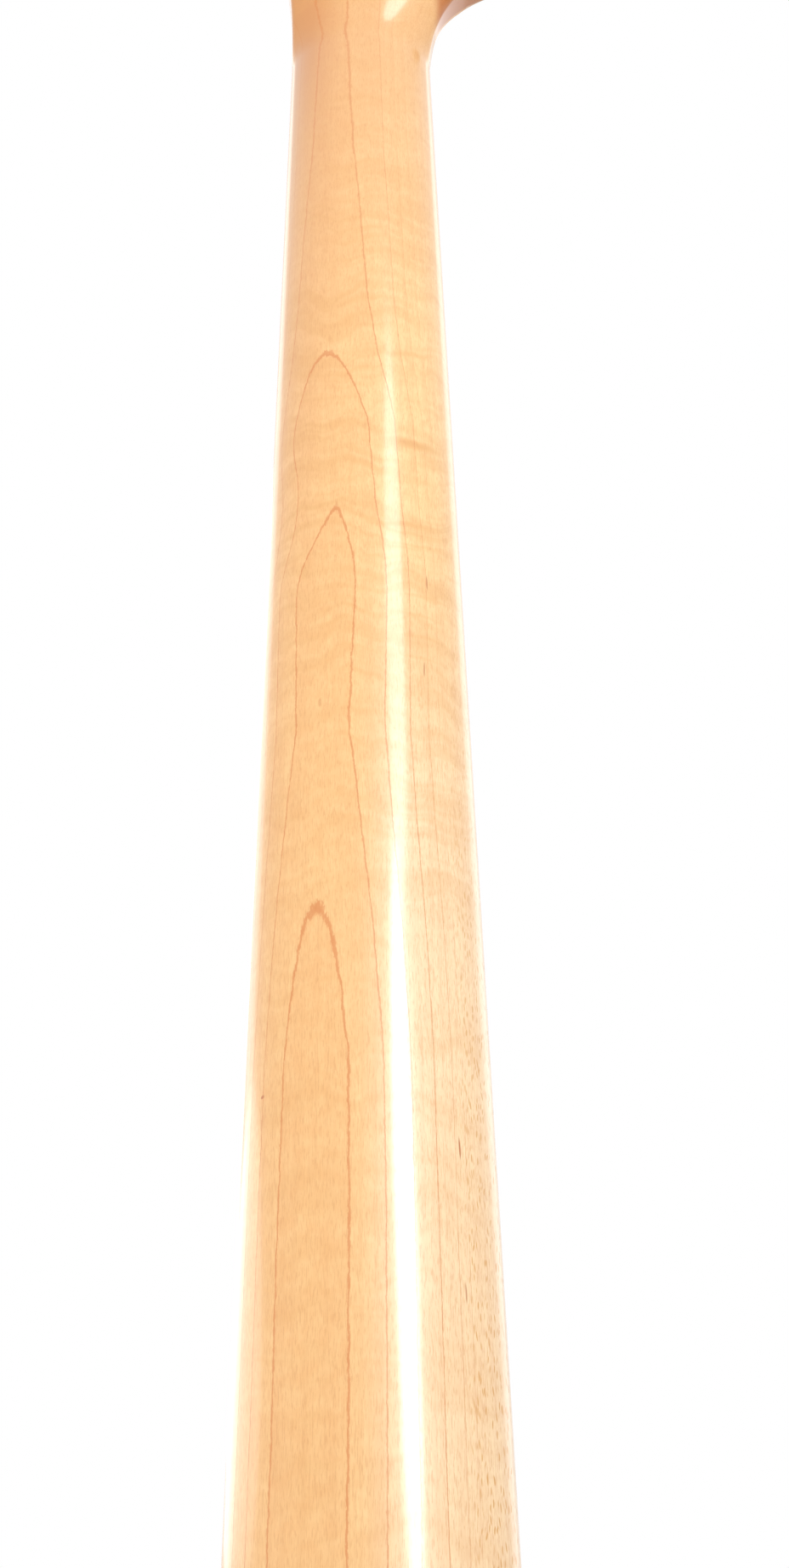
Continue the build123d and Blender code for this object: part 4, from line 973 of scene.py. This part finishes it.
def light_only(lamp, pieces):
    """Keeps a lamp's light for the given pieces."""
    lit = bpy.data.collections.new(lamp.name + "_pieces")
    for piece in pieces:
        lit.objects.link(piece)
    lamp.light_linking.receiver_collection = lit


def white_world(ambient):
    """A white surround for the camera and for reflections, with its own level of soft light."""
    world = bpy.data.worlds.new("white_surround")
    bpy.context.scene.world = world
    world.use_nodes = True
    tree = world.node_tree
    tree.nodes.clear()
    path = add_node(tree, "ShaderNodeLightPath")
    seen = math_node(tree, "MAXIMUM", path.outputs["Is Camera Ray"], path.outputs["Is Glossy Ray"])
    seen = math_node(tree, "MAXIMUM", seen, path.outputs["Is Transmission Ray"])
    level = math_node(tree, "MULTIPLY_ADD", seen, 1.0 - ambient, ambient)
    background = add_node(tree, "ShaderNodeBackground", {"Color": (1, 1, 1, 1), "Strength": level})
    output = add_node(tree, "ShaderNodeOutputWorld")
    tree.links.new(background.outputs[0], output.inputs["Surface"])


def pale_floor(level):
    """A wide pale floor under the heel end, which runs into the white surround and keeps a shadow."""
    half = FLOOR_HALF
    corners = [(-half, -half, level), (half, -half, level), (half, half, level), (-half, half, level)]
    mesh = bpy.data.meshes.new("floor")
    mesh.from_pydata(corners, [], [(0, 1, 2, 3)])
    floor = place_object("floor", mesh)
    material, tree, shader, place = new_material(
        "pale_floor", Roughness=0.8, Specular_IOR_Level=0.1, Base_Color=FLOOR_TONE,
        Emission_Color=(1, 1, 1, 1))
    glow = map_range(tree, vector_node(tree, "LENGTH", {0: place}, "Value"), *FLOOR_GLOW)
    seen = add_node(tree, "ShaderNodeLightPath").outputs["Is Camera Ray"]
    fill(tree, shader, {"Emission Strength": product(tree, glow, seen)})
    mesh.materials.append(material)


def set_camera(stage):
    """The camera behind the neck, low down and looking up along its back."""
    data = bpy.data.cameras.new("camera")
    data.lens = stage.lens
    data.sensor_width = 36.0
    camera = place_object("camera", data)
    rise, yaw = stage.camera_rise, stage.camera_yaw
    forward = Vector((math.sin(yaw) * math.cos(rise), -math.cos(yaw) * math.cos(rise), math.sin(rise)))
    turn = forward.to_track_quat("-Z", "Y").to_matrix().to_4x4()
    roll = Matrix.Rotation(stage.camera_roll, 4, "Z")
    camera.matrix_world = Matrix.Translation(stage.camera_place) @ turn @ roll
    bpy.context.scene.camera = camera


# ---------------------------------------------------------------- operators

class BASSNECK_OT_neck(bpy.types.Operator):
    """Builds the carved maple neck with its headstock, heel holes and truss rod access"""
    bl_idname = "bass_neck.neck"
    bl_label = "Carved Neck"

    def execute(self, context):
        shape = context.scene.bass_neck_shape
        neck = place_object("neck_maple", neck_mesh(shape))
        across, along = shape.bolt_spacing
        tools = [as_object("access_tool", access_slot(shape))]
        for side in (-1, 1):
            for end in (-1, 1):
                place = (side * across / 2, -shape.bolt_depth / 2 + CUT_MARGIN, end * along / 2)
                rod = cutter_rod(place, shape.bolt_radius, shape.bolt_depth + 2 * CUT_MARGIN)
                tools.append(as_object("bolt_tool", rod))
        cut(neck, tools)
        merge_close(neck, SAME_POINT)
        neck.data.materials.clear()
        neck.data.materials.append(finish_material("maple_lacquered"))
        finish_mesh(neck)
        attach(neck, "root")
        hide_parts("neck")
        return {"FINISHED"}


class BASSNECK_OT_fretboard(bpy.types.Operator):
    """Dresses the fretboard, its frets and its position marks"""
    bl_idname = "bass_neck.fretboard"
    bl_label = "Fretboard"

    def execute(self, context):
        dress(["fretboard"], "rosewood_oiled")
        dress(["frets"], "nickel_silver_frets")
        dress(["position_dots"], "pearl_dots")
        dress(["side_dots"], "side_dot_plastic")
        return {"FINISHED"}


class BASSNECK_OT_nut(bpy.types.Operator):
    """Dresses the bone nut"""
    bl_idname = "bass_neck.nut"
    bl_label = "Nut"

    def execute(self, context):
        dress(["nut"], "bone_nut")
        return {"FINISHED"}


class BASSNECK_OT_truss_rod(bpy.types.Operator):
    """Dresses the truss rod and its blocks"""
    bl_idname = "bass_neck.truss_rod"
    bl_label = "Truss Rod"

    def execute(self, context):
        dress(["truss_rod_bar", "truss_rod_screw"], "rod_steel")
        dress(["truss_rod_heel_block", "truss_rod_head_block"], "machined_brass")
        return {"FINISHED"}


class BASSNECK_OT_tuners(bpy.types.Operator):
    """Dresses the four tuners: plates, posts, bushings, gears, worms, keys and screws"""
    bl_idname = "bass_neck.tuners"
    bl_label = "Tuners"

    def execute(self, context):
        for number in TUNERS:
            plated = [f"tuner_{number}_{part}" for part in ("plate", "bushing", "post", "key", "worm")]
            dress(plated, "nickel_plate")
            dress([f"tuner_{number}_gear"], "machined_brass")
            dress([f"tuner_{number}_gear_screw", f"tuner_{number}_screws"], "screw_steel")
        return {"FINISHED"}


class BASSNECK_OT_string_guide(bpy.types.Operator):
    """Dresses the round string guide and its screw"""
    bl_idname = "bass_neck.string_guide"
    bl_label = "String Guide"

    def execute(self, context):
        dress(["string_guide"], "nickel_plate")
        dress(["string_guide_screw"], "screw_steel")
        return {"FINISHED"}


class BASSNECK_OT_stage(bpy.types.Operator):
    """Sets the white surround, pale floor, soft lamps and camera"""
    bl_idname = "bass_neck.stage"
    bl_label = "Studio"

    def execute(self, context):
        stage = context.scene.bass_neck_stage
        white_world(stage.ambient)
        pale_floor(HEEL_END_Z - FLOOR_GAP)
        neck = bpy.data.objects["neck_maple"]
        for name, (level, place, target, size, lean) in NECK_LAMPS.items():
            lamp = area_lamp(name, place, target, size, getattr(stage, level), "ELLIPSE", math.radians(lean))
            light_only(lamp, [neck])
        for name, (level, place, target, size, glossy) in ROOM_LAMPS.items():
            area_lamp(name, place, target, size, getattr(stage, level), glossy=glossy)
        set_camera(stage)
        context.scene.view_settings.view_transform = "Standard"
        return {"FINISHED"}


class BASSNECK_PT_panel(bpy.types.Panel):
    """Buttons and settings for the bass guitar neck"""
    bl_idname = "BASSNECK_PT_panel"
    bl_label = "Bass Neck"
    bl_space_type = "VIEW_3D"
    bl_region_type = "UI"
    bl_category = "Bass Neck"

    def draw(self, context):
        layout = self.layout
        for operator in OPERATORS:
            layout.operator(operator.bl_idname)
        for settings in (context.scene.bass_neck_shape, context.scene.bass_neck_finish,
                         context.scene.bass_neck_stage):
            column = layout.column(align=True)
            for name in settings.__annotations__:
                column.prop(settings, name)


OPERATORS = (
    BASSNECK_OT_neck, BASSNECK_OT_fretboard, BASSNECK_OT_nut, BASSNECK_OT_truss_rod, BASSNECK_OT_tuners,
    BASSNECK_OT_string_guide, BASSNECK_OT_stage,
)
SETTINGS = {
    "bass_neck_shape": BassNeckShape, "bass_neck_finish": BassNeckFinish, "bass_neck_stage": BassNeckStage,
}


def register():
    for kind in (*SETTINGS.values(), *OPERATORS, BASSNECK_PT_panel):
        bpy.utils.register_class(kind)
    for name, kind in SETTINGS.items():
        setattr(bpy.types.Scene, name, bpy.props.PointerProperty(type=kind))


def unregister():
    for name in SETTINGS:
        delattr(bpy.types.Scene, name)
    for kind in (BASSNECK_PT_panel, *OPERATORS, *reversed(SETTINGS.values())):
        bpy.utils.unregister_class(kind)


def main():
    register()
    bpy.ops.bass_neck.neck()
    bpy.ops.bass_neck.fretboard()
    bpy.ops.bass_neck.nut()
    bpy.ops.bass_neck.truss_rod()
    bpy.ops.bass_neck.tuners()
    bpy.ops.bass_neck.string_guide()
    bpy.ops.bass_neck.stage()


if __name__ == "__main__":
    main()
